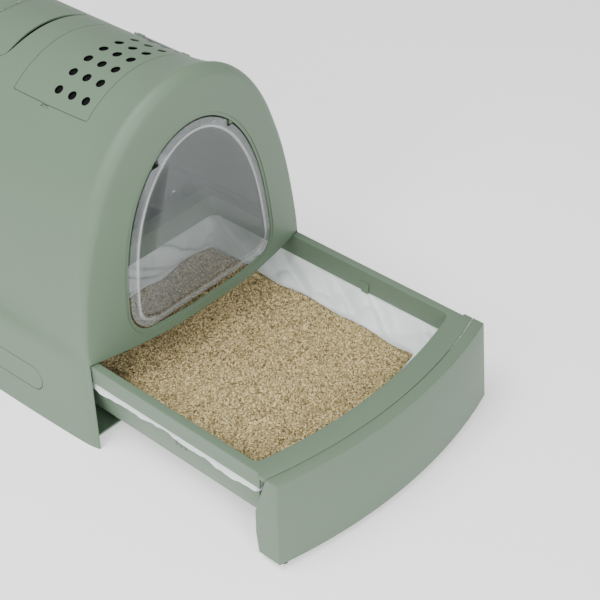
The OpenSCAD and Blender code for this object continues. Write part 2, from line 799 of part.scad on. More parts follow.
// The leaning bowed cylinder whose front is the panel's face, drawn in by inset.
// It leans about the frame's top edge, where its radius sets the panel's thickness.
module panel_bow(inset) {
    translate([0, bow_centre, frame_top]) rotate([-lean_angle, 0, 0]) translate([0, 0, -height])
        cylinder(r = bow_radius + panel_thick - inset, h = 2 * height, $fn = 360);
}
module drawer_front() color(green) {
    difference() {
        intersection() {
            panel_bow(0);
            panel_profile(0);
            wing_profile(0);
        }
        intersection() {
            panel_bow(panel_wall);
            panel_profile(panel_wall);
        }
        translate([0, bow_centre, frame_top - panel_wall - past])
            cylinder(r = bow_radius + seat, h = 2 * panel_wall, $fn = 360);
    }
}

// A small pad under each end of the panel, which carries the pulled-out drawer's front on the floor.
module glide(side) color(dark) {
    x = corner_half - glide_d;
    y = bow_centre - sqrt(pow(bow_radius + panel_thick / 2, 2) - x * x) - front_lean * frame_top;
    translate([side * x, y + glide_shift, 0]) cylinder(d = glide_d, h = panel_bottom, $fn = fine);
}
module front_clip(side) color(green) {
    out = clip_length / 2;
    in = out - clip_wall;
    x = corner_half / 2;
    back = bow_centre - sqrt(pow(bow_radius - tray_front, 2) - pow(x - out, 2)) - 6.5;
    front = bow_centre - sqrt(pow(bow_radius + panel_thick - panel_wall, 2) - pow(x + out, 2)) + 2.5;
    translate([side * x, 0, collar_z + 4]) difference() {
        block([-out, front, 0], [out, back, clip_height]);
        block([-in, front - past, clip_wall], [in, back + past, clip_height - clip_wall]);
    }
}

module inner_plan(grow) {
    offset(r = frame_corner, $fn = fine) offset(delta = -frame_corner)
        plan(frame_half - frame_side + grow, frame_front - grow, frame_rear - grow);
}
module bag_frame() color(green) {
    slab(frame_top - frame_thick, frame_thick) difference() {
        union() {
            plan(frame_half, seat, 0);
            intersection() {
                plan(corner_half, seat, 0);
                translate([-half, front_y - 2 * bow]) square([width, 2 * bow + tip_length]);
            }
        }
        inner_plan(0);
    }
    difference() {
        plan_ring(frame_top - apron_outer, apron_outer - 10 * join, frame_half, seat, 0, frame_thick);
        wing_profile(2);
        block([-half, front_y - bow - past, 0], [half, front_y + tip_length, frame_top - 12]);
    }
    slab(frame_top - apron_inner, apron_inner - 10 * join) difference() {
        inner_plan(frame_thick);
        inner_plan(0);
    }
}

// A rounded tab on the inner apron that pins the bag to the tray's wall.
module bag_clip(side) color(green) {
    x = frame_half - frame_side - 10 * join;
    z = frame_top - apron_inner + tab_r - tab_reach;
    mirror([side > 0 ? 0 : 1, 0, 0]) translate([x, front_y + tab_back, z]) {
        rod_x(tab_r, -tab_thick, 0);
        block([-tab_thick, -tab_r, 0], [0, tab_r, tab_r * 1.7]);
    }
}

// The bag's hollow: slack from the tray's collar in to a crease round the litter, then down to the floor.
module bag_hollow(inset, rise) {
    floor_z = tray_floor + soft_gap + rise;
    hull() {
        slab(collar_z - join, join) tray_plan(inset);
        slab(crease_z + rise, join) tray_plan(inset + bag_slack);
    }
    hull() {
        slab(crease_z + rise, join) tray_plan(inset + bag_slack);
        slab(floor_z, join) tray_plan(inset + bag_slack + bag_foot);
    }
}

// The bag lines the tray, folds over its rim and hangs outside it as a hem.
module liner_bag() color([0.93, 0.95, 0.95]) {
    in = tray_thick + soft_gap;
    out = -soft_gap - film;
    hem_z = frame_top - apron_outer - hem;
    rim = tray_rim + soft_gap;
    plan_ring(collar_z - join, rim - collar_z + 2 * join, tray_half - in, tray_front + in, tray_back + in, film);
    plan_ring(rim, film, tray_half - out, tray_front + out, tray_back + out, in + film - out);
    plan_ring(hem_z, rim - hem_z + join, tray_half - out, tray_front + out, tray_back + out, film);
    difference() {
        bag_hollow(in, 0);
        translate([0, 0, join]) bag_hollow(in + film, film);
    }
}

// Height of the litter's surface: gently rippled, with a hollow and a small mound.
hollow_at = [frame_half * 0.3, front_y + 131];
mound_at = [frame_half * 0.37, front_y + 201];
function heap(x, y, at, spread) = exp(-(pow(x - at[0], 2) + pow(y - at[1], 2)) / pow(spread, 2));
function litter_z(x, y) =
    crease_z + litter_rise
    + 2.5 * sin(x * 2.1 + 30) * cos(y * 1.7)
    + 1.5 * sin(x * 4.3 + y * 3.1)
    - litter_hollow * heap(x, y, hollow_at, 55)
    + litter_mound * heap(x, y, mound_at, 39);
module litter_bed() color([0.7, 0.62, 0.46]) meshed() {
    in = lining + 2 * soft_gap;
    nx = 26;
    ny = 34;
    y0 = front_y - bow;
    y1 = front_y + drawer_length;
    intersection() {
        union() {
            bag_hollow(in, film + soft_gap);
            slab(crease_z, apron_inner) tray_plan(in + bag_slack + 1);
        }
        skin([for (j = [0:ny])
            let (y = y0 + (y1 - y0) * j / ny)
            concat(
                [for (i = [0:nx]) let (x = half * (1 - 2 * i / nx)) [x, y, litter_z(x, y)]],
                [[-half, y, 0], [half, y, 0]]
            )]);
    }
}

// ---- assembly -------------------------------------------------------------------------------

rest_front = bow_centre - (bow_radius + panel_thick) / cos(lean_angle) - front_lean * (frame_top - panel_bottom);
module place() translate([0, -(depth + rest_front) / 2, 0]) children();

place() base_pan();
place() foot(-1, pan_front + foot_inset);  // foot_front_left
place() foot(1, pan_front + foot_inset);  // foot_front_right
place() foot(-1, pan_back - foot_inset);  // foot_rear_left
place() foot(1, pan_back - foot_inset);  // foot_rear_right
place() runner(-1);  // runner_left
place() runner(1);  // runner_right
place() hood_shell();
place() flap_bracket(-1);  // flap_bracket_left
place() flap_bracket(1);  // flap_bracket_right
place() latch_bracket(-1);  // latch_bracket_left
place() latch_bracket(1);  // latch_bracket_right
place() filter_holder();
place() carbon_filter();
place() storage_bin();
place() hatch_pin();
place() lid_pin();
place() latch_pin(-1);  // latch_pin_left
place() latch_pin(1);  // latch_pin_right
place() flap_panel();
place() flap_pin(-1);  // flap_pin_left
place() flap_pin(1);  // flap_pin_right
place() hatch_panel();
place() storage_lid();
place() latch_plate(-1);  // latch_plate_left
place() latch_plate(1);  // latch_plate_right
place() drawer_tray();
place() drawer_front();
place() glide(-1);  // glide_left
place() glide(1);  // glide_right
place() front_clip(-1);  // front_clip_left
place() front_clip(1);  // front_clip_right
place() bag_frame();
place() bag_clip(-1);  // bag_clip_left
place() bag_clip(1);  // bag_clip_right
place() liner_bag();
place() litter_bed();
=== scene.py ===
import math
import bpy
import numpy as np
from mathutils import Matrix, Vector


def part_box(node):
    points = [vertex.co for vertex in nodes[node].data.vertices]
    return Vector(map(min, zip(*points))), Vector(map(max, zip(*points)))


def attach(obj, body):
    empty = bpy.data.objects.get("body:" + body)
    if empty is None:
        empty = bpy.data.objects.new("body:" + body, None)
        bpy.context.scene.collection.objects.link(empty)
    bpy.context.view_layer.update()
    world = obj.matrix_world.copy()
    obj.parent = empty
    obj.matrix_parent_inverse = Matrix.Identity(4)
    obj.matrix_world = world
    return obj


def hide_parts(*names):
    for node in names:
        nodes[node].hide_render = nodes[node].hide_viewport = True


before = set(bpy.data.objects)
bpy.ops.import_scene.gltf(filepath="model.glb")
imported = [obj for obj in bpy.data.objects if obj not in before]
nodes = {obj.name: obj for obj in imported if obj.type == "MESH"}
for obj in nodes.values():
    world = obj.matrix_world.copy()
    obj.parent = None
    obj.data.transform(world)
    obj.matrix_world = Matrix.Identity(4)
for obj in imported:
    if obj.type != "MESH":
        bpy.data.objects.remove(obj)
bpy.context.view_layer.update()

# ---- Floor, light and camera ---------------------------------------------------------------------
# The box stands on a plain pale floor under wide soft lights, with the drawer pulled out towards the
# right. The camera looks down at it from the front left with a long lens.

FLOOR_REACH = 12.0
LENS_MM = 92.75
CAMERA_PLACE = Vector((-1.1242, -1.3637, 1.4531))
CAMERA_YAW, CAMERA_PITCH, CAMERA_ROLL = (math.radians(a) for a in (45.81, 37.95, -2.64))


class Link:
    """One output of a material's nodes. Arithmetic on it adds Math nodes."""

    def __init__(self, tree, socket=None):
        self.tree = tree
        self.socket = socket

    def node(self, kind, settings=None, sockets=None, output=0):
        """Adds a node of any type: its settings first, then the values or links of its sockets."""
        made = self.tree.nodes.new(kind)
        for name, value in (settings or {}).items():
            if name == "stops":
                for stop, (place, colour) in zip(made.color_ramp.elements, value):
                    stop.position = place
                    stop.color = colour
            else:
                setattr(made, name, value)
        for name, value in (sockets or {}).items():
            if isinstance(value, Link):
                self.tree.links.new(value.socket, made.inputs[name])
            else:
                made.inputs[name].default_value = value
        return Link(self.tree, made.outputs[output])

    def maths(self, operation, first, second):
        return self.node("ShaderNodeMath", {"operation": operation}, {0: first, 1: second})

    def __add__(self, other):
        return self.maths("ADD", self, other)

    def __radd__(self, other):
        return self.maths("ADD", other, self)

    def __rsub__(self, other):
        return self.maths("SUBTRACT", other, self)

    def __rmul__(self, other):
        return self.maths("MULTIPLY", other, self)

    def noise(self, scale, detail=2.0, roughness=0.5, stretch=(1, 1, 1)):
        """Noise on the piece's own coordinates, in grains a metre, stretched along an axis."""
        place = self.node("ShaderNodeTexCoord", output=3)
        place = self.node("ShaderNodeMapping", None, {"Vector": place, "Scale": stretch})
        return self.node("ShaderNodeTexNoise", None,
                         {"Vector": place, "Scale": scale, "Detail": detail, "Roughness": roughness})

    def blend(self, share, first, second):
        """A colour between two colours."""
        return self.node("ShaderNodeMix", {"data_type": "RGBA"},
                         {"Factor": share, 6: first, 7: second}, output=2)

    def bump(self, strength, distance, height, normal=None):
        """A surface direction tilted by a height, which counts for a distance in metres."""
        sockets = {"Strength": strength, "Distance": distance, "Height": height}
        if normal is not None:
            sockets["Normal"] = normal
        return self.node("ShaderNodeBump", None, sockets)

    def stored(self, name):
        """A number kept for each of the piece's points."""
        return self.node("ShaderNodeAttribute", {"attribute_name": name}, output=2)


def finish(name, constants, build):
    """A material: constants go on the shader's sockets, and build(start) gives the links of the others."""
    made = bpy.data.materials.new(name)
    made.use_nodes = True
    tree = made.node_tree
    tree.nodes.clear()
    shader = tree.nodes.new("ShaderNodeBsdfPrincipled")
    output = tree.nodes.new("ShaderNodeOutputMaterial")
    tree.links.new(shader.outputs[0], output.inputs[0])
    for socket, value in constants.items():
        shader.inputs[socket].default_value = value
    for socket, link in build(Link(tree)).items():
        tree.links.new(link.socket, shader.inputs[socket])
    return made


def mesh_piece(name, points, faces, material, smooth_below=None):
    """An object from points and faces, smooth where faces meet at less than an angle in degrees."""
    mesh = bpy.data.meshes.new(name)
    mesh.from_pydata(np.asarray(points, float).reshape(-1, 3).tolist(), [], faces)
    mesh.validate()
    mesh.materials.append(material)
    piece = bpy.data.objects.new(name, mesh)
    bpy.context.scene.collection.objects.link(piece)
    if smooth_below is not None:
        soften(piece, smooth_below)
    return piece


def soften(piece, angle):
    """Smooth shading, with edges sharper than an angle in degrees kept sharp."""
    piece.data.shade_smooth()
    piece.data.set_sharp_from_angle(angle=math.radians(angle))


def floor_paint(start):
    tone = start.noise(2.0)
    return {"Base Color": start.blend(tone, (0.94, 0.94, 0.94, 1), (0.96, 0.96, 0.96, 1))}


def area_light(name, place, target, size, power):
    lamp = bpy.data.lights.new(name, "AREA")
    lamp.shape = "DISK"
    lamp.size = size
    lamp.energy = power
    made = bpy.data.objects.new(name, lamp)
    made.location = place
    made.rotation_euler = (Vector(target) - Vector(place)).to_track_quat("-Z", "Y").to_euler()
    bpy.context.scene.collection.objects.link(made)


FLOOR_GLOW = {"Roughness": 0.9, "Emission Color": (1, 1, 1, 1), "Emission Strength": 0.6}
corners = [(-FLOOR_REACH, -FLOOR_REACH, 0), (FLOOR_REACH, -FLOOR_REACH, 0),
           (FLOOR_REACH, FLOOR_REACH, 0), (-FLOOR_REACH, FLOOR_REACH, 0)]
floor = mesh_piece("floor", corners, [(0, 1, 2, 3)], finish("floor paint", FLOOR_GLOW, floor_paint))

world = bpy.data.worlds.new("studio")
bpy.context.scene.world = world
world.use_nodes = True
world.node_tree.nodes["Background"].inputs["Color"].default_value = (1.0, 1.0, 1.0, 1)
world.node_tree.nodes["Background"].inputs["Strength"].default_value = 0.55
area_light("overhead light", (-1.0, 0.1, 3.0), (0.0, -0.1, 0.2), 1.8, 72)
area_light("key light", (-2.1, -0.6, 1.7), (0.0, -0.1, 0.2), 0.9, 26)
area_light("front light", (-1.0, -2.5, 1.7), (0.0, -0.1, 0.25), 1.0, 33)

forward = Vector((math.sin(CAMERA_YAW) * math.cos(CAMERA_PITCH),
                  math.cos(CAMERA_YAW) * math.cos(CAMERA_PITCH), -math.sin(CAMERA_PITCH)))
sideways = Vector((math.cos(CAMERA_YAW), -math.sin(CAMERA_YAW), 0))
upwards = sideways.cross(forward)
camera_right = sideways * math.cos(CAMERA_ROLL) + upwards * math.sin(CAMERA_ROLL)
camera_up = upwards * math.cos(CAMERA_ROLL) - sideways * math.sin(CAMERA_ROLL)
camera = bpy.data.objects.new("camera", bpy.data.cameras.new("camera"))
camera.data.lens = LENS_MM
camera.data.sensor_width = 36.0
camera.matrix_world = Matrix.Translation(CAMERA_PLACE) @ Matrix(
    (camera_right, camera_up, -forward)).transposed().to_4x4()
bpy.context.scene.collection.objects.link(camera)
bpy.context.scene.camera = camera

# ---- Housing -------------------------------------------------------------------------------------
# One moulding of sage green polypropylene with a fine matt grain: arched roof, bowed front with a
# rounded rim, and flared skirts that stand on the floor. It lifts off the base.

MM = 0.001
WIDTH, DEPTH, HEIGHT = 420.0, 525.0, 497.0
REAR_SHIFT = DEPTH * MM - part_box("hood_shell")[1][1]
HALF = WIDTH / 2
SIDE_LEAN, FRONT_LEAN = 0.044, 0.036
WALL = 2.4
FRAME_TOP, MOUTH_TOP = 141.0, 143.0
CORNER_HALF = HALF - SIDE_LEAN * FRAME_TOP
BOW = 30.0
BOW_RADIUS = (CORNER_HALF ** 2 + BOW ** 2) / (2 * BOW)
SKIRT_STEP, SKIRT_STEP_RUN, SIDE_BULGE = 2.5, 8.0, 7.0
SIDE_DROP, SIDE_DROP_RUN = 5.0, 120.0
CROWN_DROP, CROWN_RUN = 19.0, 50.0
ARCH_POWER, ARCH_NARROWING = 3.1, 0.15
BEVEL_LOW, BEVEL_HIGH = 139.0, 160.0
FACE_MIDDLE = 0.4 * HEIGHT
RIM_ROUND, SKIRT_ROUND, ROUND_ONSET = 16.0, 4.0, 2.5
RIM_END = RIM_ROUND + FRONT_LEAN * (HEIGHT - FRAME_TOP) + 1
BACK_RUN, BACK_INSET = 10.0, 6.0
PANEL_ANGLE = 30


def bow_y(x):
    """Depth of the bowed front: a circle's arc, zero at the front corners, negative between them."""
    return BOW_RADIUS - BOW - np.sqrt(BOW_RADIUS ** 2 - x ** 2)


def face_y(x, z):
    """The bowed front leans back a little with height."""
    return bow_y(x) + FRONT_LEAN * (z - FRAME_TOP)


def crown_z(y):
    """Height of the roof's crown: it falls away behind the front rim as a decaying curve."""
    return HEIGHT - CROWN_DROP * (1 - np.exp(-np.maximum(y, 0) / CROWN_RUN))


def section(y, inset, foot):
    """The cross-section at depth y, drawn in by inset, as x, z and the rounding of the front edge there.
    Straight skirts lean in, a bevel leads to the arch, and the arch is a squarish superellipse whose
    width narrows towards its crown. The bevel's creases are softened by a running mean."""
    back = np.maximum(y, 0)
    skirt = HALF + SKIRT_STEP * (1 - np.exp(-back / SKIRT_STEP_RUN))
    skirt = skirt + SIDE_BULGE * (1 - (1 - back * 2 / DEPTH) ** 2)
    arch = HALF - SIDE_LEAN * BEVEL_LOW - SIDE_DROP * (1 - np.exp(-back / SIDE_DROP_RUN))
    crown = crown_z(y) - inset
    low = np.linspace(0, 1, 26)[:-1]
    bevel = np.linspace(0, 1, 9)[:-1]
    lift = np.sin(np.linspace(0, math.pi / 2, 64))
    turn = np.arcsin(lift ** (ARCH_POWER / 2))
    x = np.concatenate([skirt - inset - SIDE_LEAN * BEVEL_LOW * low,
                        (skirt - inset - SIDE_LEAN * BEVEL_LOW) * (1 - bevel) + (arch - inset) * bevel,
                        (arch - inset) * (1 - ARCH_NARROWING * lift) * np.cos(turn)])
    z = np.concatenate([foot + (BEVEL_LOW - foot) * low,
                        BEVEL_LOW + (BEVEL_HIGH - BEVEL_LOW) * bevel,
                        BEVEL_HIGH + (crown - BEVEL_HIGH) * lift])
    onset = np.minimum(1, ROUND_ONSET * np.sin(turn))
    rounding = np.concatenate([np.full(len(low) + len(bevel), SKIRT_ROUND),
                               SKIRT_ROUND + (RIM_ROUND - SKIRT_ROUND) * onset])
    mean = np.ones(5) / 5
    creases = slice(8, 60)
    x[creases] = np.convolve(x, mean, "same")[creases]
    z[creases] = np.convolve(z, mean, "same")[creases]
    x, z, rounding = (np.concatenate([a, a[-2::-1]]) for a in (x, z, rounding))
    x[len(x) // 2 + 1:] *= -1
    return x, z, rounding


def housing_rings(inset):
    """Rings from the middle of the front face out to the rim, back along the roof and into the back."""
    foot = -1.0 if inset > 0 else 0.0
    x, z, rounding = section(0.0, inset, foot)
    rings = []

    def rim(angle):
        rise = z - FACE_MIDDLE
        share = 1 - (rounding - inset) * (1 - math.sin(angle)) / np.hypot(x, rise)
        rx, rz = x * share, FACE_MIDDLE + rise * np.where(rise < 0, 1, share)
        return rx, face_y(rx, rz) + inset + (rounding - inset) * (1 - math.cos(angle)), rz

    rx, _, rz = rim(0.0)
    for share in np.linspace(0.03, 0.97, 16):
        fx, fz = rx * share, FACE_MIDDLE + (rz - FACE_MIDDLE) * share
        rings.append((fx, face_y(fx, fz) + inset, fz))
    rings += [rim(angle) for angle in np.linspace(0, math.pi / 2, 11)]
    rim_y = rings[-1][1]
    for share in np.linspace(0, 1, 8)[1:]:
        sx, sz, _ = section(share * RIM_END, inset, foot)
        rings.append((sx, rim_y + (RIM_END - rim_y) * share, sz))
    for y in np.linspace(RIM_END, DEPTH - BACK_RUN, 42)[1:]:
        sx, sz, _ = section(y, inset, foot)
        rings.append((sx, np.full_like(sx, y), sz))
    for angle in np.linspace(0, math.pi / 2, 7)[1:]:
        sx, sz, _ = section(DEPTH, inset + BACK_INSET * (1 - math.cos(angle)), foot)
        rings.append((sx, np.full_like(sx, DEPTH - BACK_RUN + (BACK_RUN - inset) * math.sin(angle)), sz))
    for share in (0.85, 0.6, 0.3, 0.04):
        rings.append((sx * share, np.full_like(sx, DEPTH - inset), FACE_MIDDLE + (sz - FACE_MIDDLE) * share))
    return np.array([np.stack(ring, axis=1) for ring in rings])


def ring_faces(rings, columns):
    """Quads between closed rings, and one face over each end."""
    here = np.arange(rings * columns).reshape(rings, columns)
    right = np.roll(here, -1, axis=1)
    quads = np.stack([here[:-1], right[:-1], right[1:], here[1:]], axis=-1).reshape(-1, 4)
    return quads.tolist() + [here[0, ::-1].tolist(), here[-1].tolist()]


def in_place(points):
    """From millimetres behind the hood's front corners to metres in the shared frame."""
    return np.asarray(points) * MM - np.array([0, REAR_SHIFT, 0])


def housing_solid(name, inset, material):
    rings = housing_rings(inset)
    made = mesh_piece(name, in_place(rings), ring_faces(*rings.shape[:2]), material)
    face_outwards(made)
    return made


def prism(name, outline, axes, low, high, material):
    """A straight block: an outline in two axes, carried along the third from low to high."""
    outline = np.asarray(outline)
    ends = []
    for level in (low, high):
        ring = np.empty((len(outline), 3))
        ring[:, axes[0]], ring[:, axes[1]], ring[:, 3 - sum(axes)] = outline[:, 0], outline[:, 1], level
        ends.append(ring)
    made = mesh_piece(name, in_place(np.array(ends)), ring_faces(2, len(outline)), material)
    face_outwards(made)
    return made


def mesh_points(mesh):
    """A mesh's points, one row of x, y and z for each."""
    points = np.empty(len(mesh.vertices) * 3)
    mesh.vertices.foreach_get("co", points)
    return points.reshape(-1, 3)


def face_outwards(piece):
    """Turns a mesh right side out, by the sign of the volume between its faces and the origin."""
    mesh = piece.data
    mesh.calc_loop_triangles()
    triangles = np.empty(len(mesh.loop_triangles) * 3, dtype=int)
    mesh.loop_triangles.foreach_get("vertices", triangles)
    a, b, c = mesh_points(mesh)[triangles.reshape(-1, 3)].transpose(1, 0, 2)
    if np.einsum("ij,ij->i", a, np.cross(b, c)).sum() < 0:
        mesh.flip_normals()


def cut(piece, tool, operation="DIFFERENCE"):
    """Cuts a piece with a tool, which is used up."""
    step = piece.modifiers.new("cut", "BOOLEAN")
    step.operation = operation
    step.solver = "EXACT"
    step.object = tool
    settle(piece)
    bpy.data.objects.remove(tool)


def twin(piece, name):
    """A copy of a piece, with a mesh of its own."""
    made = piece.copy()
    made.data = piece.data.copy()
    made.name = name
    bpy.context.scene.collection.objects.link(made)
    return made


def settle(piece):
    """Applies a piece's modifiers."""
    bpy.context.view_layer.update()
    solid = piece.evaluated_get(bpy.context.evaluated_depsgraph_get())
    mesh = bpy.data.meshes.new_from_object(solid)
    piece.modifiers.clear()
    piece.data = mesh


def join(piece, *others):
    """Puts other closed solids into a piece's mesh."""
    mesh = piece.data
    points = [mesh_points(mesh)]
    faces = [list(p.vertices) for p in mesh.polygons]
    start = len(mesh.vertices)
    for other in others:
        points.append(mesh_points(other.data))
        faces += [[start + i for i in p.vertices] for p in other.data.polygons]
        start += len(other.data.vertices)
        bpy.data.objects.remove(other)
    made = bpy.data.meshes.new(piece.name)
    made.from_pydata(np.concatenate(points).tolist(), [], faces)
    made.materials.append(mesh.materials[0])
    piece.data = made


def rounded_box(x0, x1, y0, y1, radius):
    """A rectangle's outline with round corners."""
    turn = np.linspace(0, math.pi / 2, 8)
    arcs = []
    for quarter, (cx, cy) in enumerate([(x1 - radius, y1 - radius), (x0 + radius, y1 - radius),
                                        (x0 + radius, y0 + radius), (x1 - radius, y0 + radius)]):
        angle = turn + quarter * math.pi / 2
        arcs.append(np.stack([cx + radius * np.cos(angle), cy + radius * np.sin(angle)], axis=1))
    return np.concatenate(arcs)


def rod(name, start, end, radius, material, sides=24):
    """A round rod between two points, in millimetres."""
    start, end = np.array(start, float), np.array(end, float)
    along = (end - start) / np.linalg.norm(end - start)
    first = np.cross(along, [0.3, 0.5, 0.8])
    first /= np.linalg.norm(first)
    second = np.cross(along, first)
    angle = np.linspace(0, 2 * math.pi, sides, endpoint=False)[:, None]
    ring = radius * (np.cos(angle) * first + np.sin(angle) * second)
    made = mesh_piece(name, in_place(np.array([start + ring, end + ring])), ring_faces(2, sides), material)
    face_outwards(made)
    return made


def plastic(name, light, dark, gloss):
    """Moulded plastic: a slow drift of tone, a fine matt grain, and edges that the mould left soft."""
    def build(start):
        drift = start.noise(3.5, 3.0)
        grain = start.noise(1100.0, 2.0, 0.6)
        soft = start.node("ShaderNodeBevel", {"samples": 4}, {"Radius": 0.0011})
        return {
            "Base Color": start.blend(drift, light, dark),
            "Roughness": gloss + 0.14 * grain,
            "Normal": start.bump(0.10, 0.0003, grain, soft),
        }
    return finish(name, {"Specular IOR Level": 0.38}, build)


housing_plastic = plastic("housing plastic", (0.140, 0.206, 0.139, 1), (0.130, 0.193, 0.130, 1), 0.42)


def arch_point(y, inset, x):
    """Height of the roof over x at depth y."""
    sx, sz, _ = section(y, inset, 0.0)
    middle = len(sx) // 2
    return float(np.interp(abs(x), sx[:middle + 1][::-1], sz[:middle + 1][::-1]))


DOOR_HALF, DOOR_CORNER = 0.319 * WIDTH, 27.0
DOOR_FOOT, DOOR_SHOULDER, DOOR_CROWN = 161.0, 196.0, 430.0
DOOR_POWER, DOOR_NARROWING = 2.6, 0.1


def door_outline(inset, arch_steps=80):
    """The door's outline: round lower corners, straight sill, and an arch that is a superellipse."""
    half, foot = DOOR_HALF - inset, DOOR_FOOT + inset
    turn = np.radians(np.linspace(0, 80, 9))
    arch = np.linspace(0, math.pi, arch_steps + 1)
    lift = np.sin(arch) ** (2 / DOOR_POWER)
    x = np.concatenate([half - DOOR_CORNER + DOOR_CORNER * np.sin(turn),
                        half * (1 - DOOR_NARROWING * lift) * np.cos(arch),
                        -(half - DOOR_CORNER + DOOR_CORNER * np.sin(turn[::-1]))])
    z = np.concatenate([DOOR_SHOULDER - (DOOR_SHOULDER - foot) * np.cos(turn),
                        DOOR_SHOULDER + (DOOR_CROWN - inset - DOOR_SHOULDER) * lift,
                        DOOR_SHOULDER - (DOOR_SHOULDER - foot) * np.cos(turn[::-1])])
    return np.stack([x, z], axis=1)


HATCH_HALF, HATCH_FRONT, HATCH_REAR, HATCH_CORNER = 0.24 * WIDTH, 66.0, 213.0, 3.0
LID_HALF, LID_FRONT, LID_REAR, LID_CORNER, LID_GAP = 0.18 * WIDTH, 254.0, 334.0, 12.0, 7.0
SEAM, HINGE_SEAM, END_GAP, FINGER_SHARE = 0.8, 2.0, 1.5, 0.9
LATCH_FRONT, LATCH_LENGTH, LATCH_HEIGHT, LATCH_Z, LATCH_GAP = 99.0, 190.0, 38.0, 67.0, 1.1
STEP_WIDTH, STEP_DEPTH = 5.0, 1.2
NOTCH_DEPTH, NOTCH_RADIUS, NOTCH_TOP, NOTCH_PLACE = 1.4, 9.0, 6.0, 0.55
MOUTH_FOOT = -5.0
ROOF_SPAN, SKIRT_SPAN = (HEIGHT / 2, HEIGHT + 20), (150.0, 260.0)
FACE_SPAN, MOUTH_SPAN = (-60.0, 60.0), (-60.0, 40.0)


def roof_window(name, x0, x1, y0, y1, radius):
    return prism(name, rounded_box(x0, x1, y0, y1, radius), (0, 1), *ROOF_SPAN, housing_plastic)


def capsule(name, side, gap):
    radius = LATCH_HEIGHT / 2
    outline = rounded_box(LATCH_FRONT - gap, LATCH_FRONT + LATCH_LENGTH + gap,
                          LATCH_Z - radius - gap, LATCH_Z + radius + gap, radius + gap)
    low, high = sorted(side * reach for reach in SKIRT_SPAN)
    return prism(name, outline, (1, 2), low, high, housing_plastic)


def notch(name):
    """The finger notch at the hatch's left edge: a shallow three-sided recess, nearly square to the roof."""
    y = HATCH_FRONT + NOTCH_PLACE * (HATCH_REAR - HATCH_FRONT)
    top = np.array([-HATCH_HALF, y, arch_point(y, 0.0, HATCH_HALF)])
    lean = np.array([-1, 0, 1]) / math.sqrt(2)
    return rod(name, top - NOTCH_DEPTH * lean, top + NOTCH_TOP * lean,
               NOTCH_RADIUS, housing_plastic, sides=3)


housing = housing_solid("housing", 0.0, housing_plastic)
cut(housing, housing_solid("hollow", WALL, housing_plastic))
shell = twin(housing, "shell")
mouth = [(-HALF + WALL, MOUTH_FOOT), (HALF - WALL, MOUTH_FOOT),
         (HALF - WALL - SIDE_LEAN * MOUTH_TOP, MOUTH_TOP), (-HALF + WALL + SIDE_LEAN * MOUTH_TOP, MOUTH_TOP)]
cut(housing, prism("mouth", mouth, (0, 2), *MOUTH_SPAN, housing_plastic))
step = prism("step", door_outline(-STEP_WIDTH), (0, 2), *FACE_SPAN, housing_plastic)
cut(step, housing_solid("behind the step", STEP_DEPTH, housing_plastic))
cut(housing, step)
cut(housing, prism("door", door_outline(0), (0, 2), *FACE_SPAN, housing_plastic))
cut(housing, roof_window("hatch opening", -HATCH_HALF, HATCH_HALF, HATCH_FRONT, HATCH_REAR, HATCH_CORNER))
cut(housing, roof_window("lid opening", -LID_HALF, LID_HALF,
                         LID_FRONT + LID_GAP - END_GAP, LID_REAR, LID_CORNER))
sweep = np.linspace(0, 2 * math.pi, 72, endpoint=False)
finger_gap = np.stack([LID_HALF * FINGER_SHARE * np.cos(sweep),
                       LID_FRONT + LID_GAP + LID_GAP * np.sin(sweep)], axis=1)
cut(housing, prism("finger gap", finger_gap, (0, 1), *ROOF_SPAN, housing_plastic))
cut(housing, notch("notch"))
for side in (-1, 1):
    cut(housing, capsule("latch opening", side, LATCH_GAP))
soften(housing, PANEL_ANGLE)
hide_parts("hood_shell")
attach(housing, "hood")

# ---- Filter hatch --------------------------------------------------------------------------------
# A curved panel of the same plastic with three rows of round vent holes, wider on the inside. It
# hinges on a steel pin along its right-hand edge, over a tray that holds a black carbon pad.

VENT_RADIUS, VENT_SINK = 6.5, 3.0
VENT_COLUMNS, VENT_ROWS = 7, 3
VENT_PITCH_X, VENT_PITCH_Y, VENT_FIRST = 27.0, 26.5, 22.0
VENT_FOCUS, VENT_LIP, VENT_REACH, SLOPE_STEP = 0.34 * HEIGHT, 0.9, 12.0, 2.0
HATCH_AXIS = (HATCH_HALF, 441.09)
KNUCKLE, KNUCKLE_RADIUS, KNUCKLE_END = 12.0, 2.6, 30.0


def layer_panel(name, tool):
    """A panel of the housing's own layer, inside a tool's outline."""
    made = twin(shell, name)
    cut(made, tool, "INTERSECT")
    return made


hatch = layer_panel("filter_hatch", roof_window("hatch edge", -HATCH_HALF + SEAM, HATCH_HALF - HINGE_SEAM,
                                                HATCH_FRONT + SEAM, HATCH_REAR - SEAM, HATCH_CORNER - SEAM))
vents, sinks = [], []
for column in range(VENT_COLUMNS):
    for row in range(VENT_ROWS):
        x = (column - (VENT_COLUMNS - 1) / 2) * VENT_PITCH_X
        y = HATCH_FRONT + VENT_FIRST + row * VENT_PITCH_Y
        top = np.array([x, y, arch_point(y, 0.0, x)])
        lean = np.array([x, 0, VENT_FOCUS]) / math.hypot(x, VENT_FOCUS)
        vents.append(rod("vent", top - VENT_REACH * lean, top + VENT_REACH * lean,
                         VENT_RADIUS, housing_plastic, sides=36))
        fall = arch_point(y, 0.0, x - SLOPE_STEP) - arch_point(y, 0.0, x + SLOPE_STEP)
        square = np.array([fall, 0, 2 * SLOPE_STEP])
        square /= np.linalg.norm(square)
        sinks.append(rod("sink", top - VENT_REACH * square, top - VENT_LIP * square,
                         VENT_RADIUS + VENT_SINK, housing_plastic))
join(vents[0], *vents[1:])
join(sinks[0], *sinks[1:])
cut(hatch, vents[0])
cut(hatch, sinks[0])
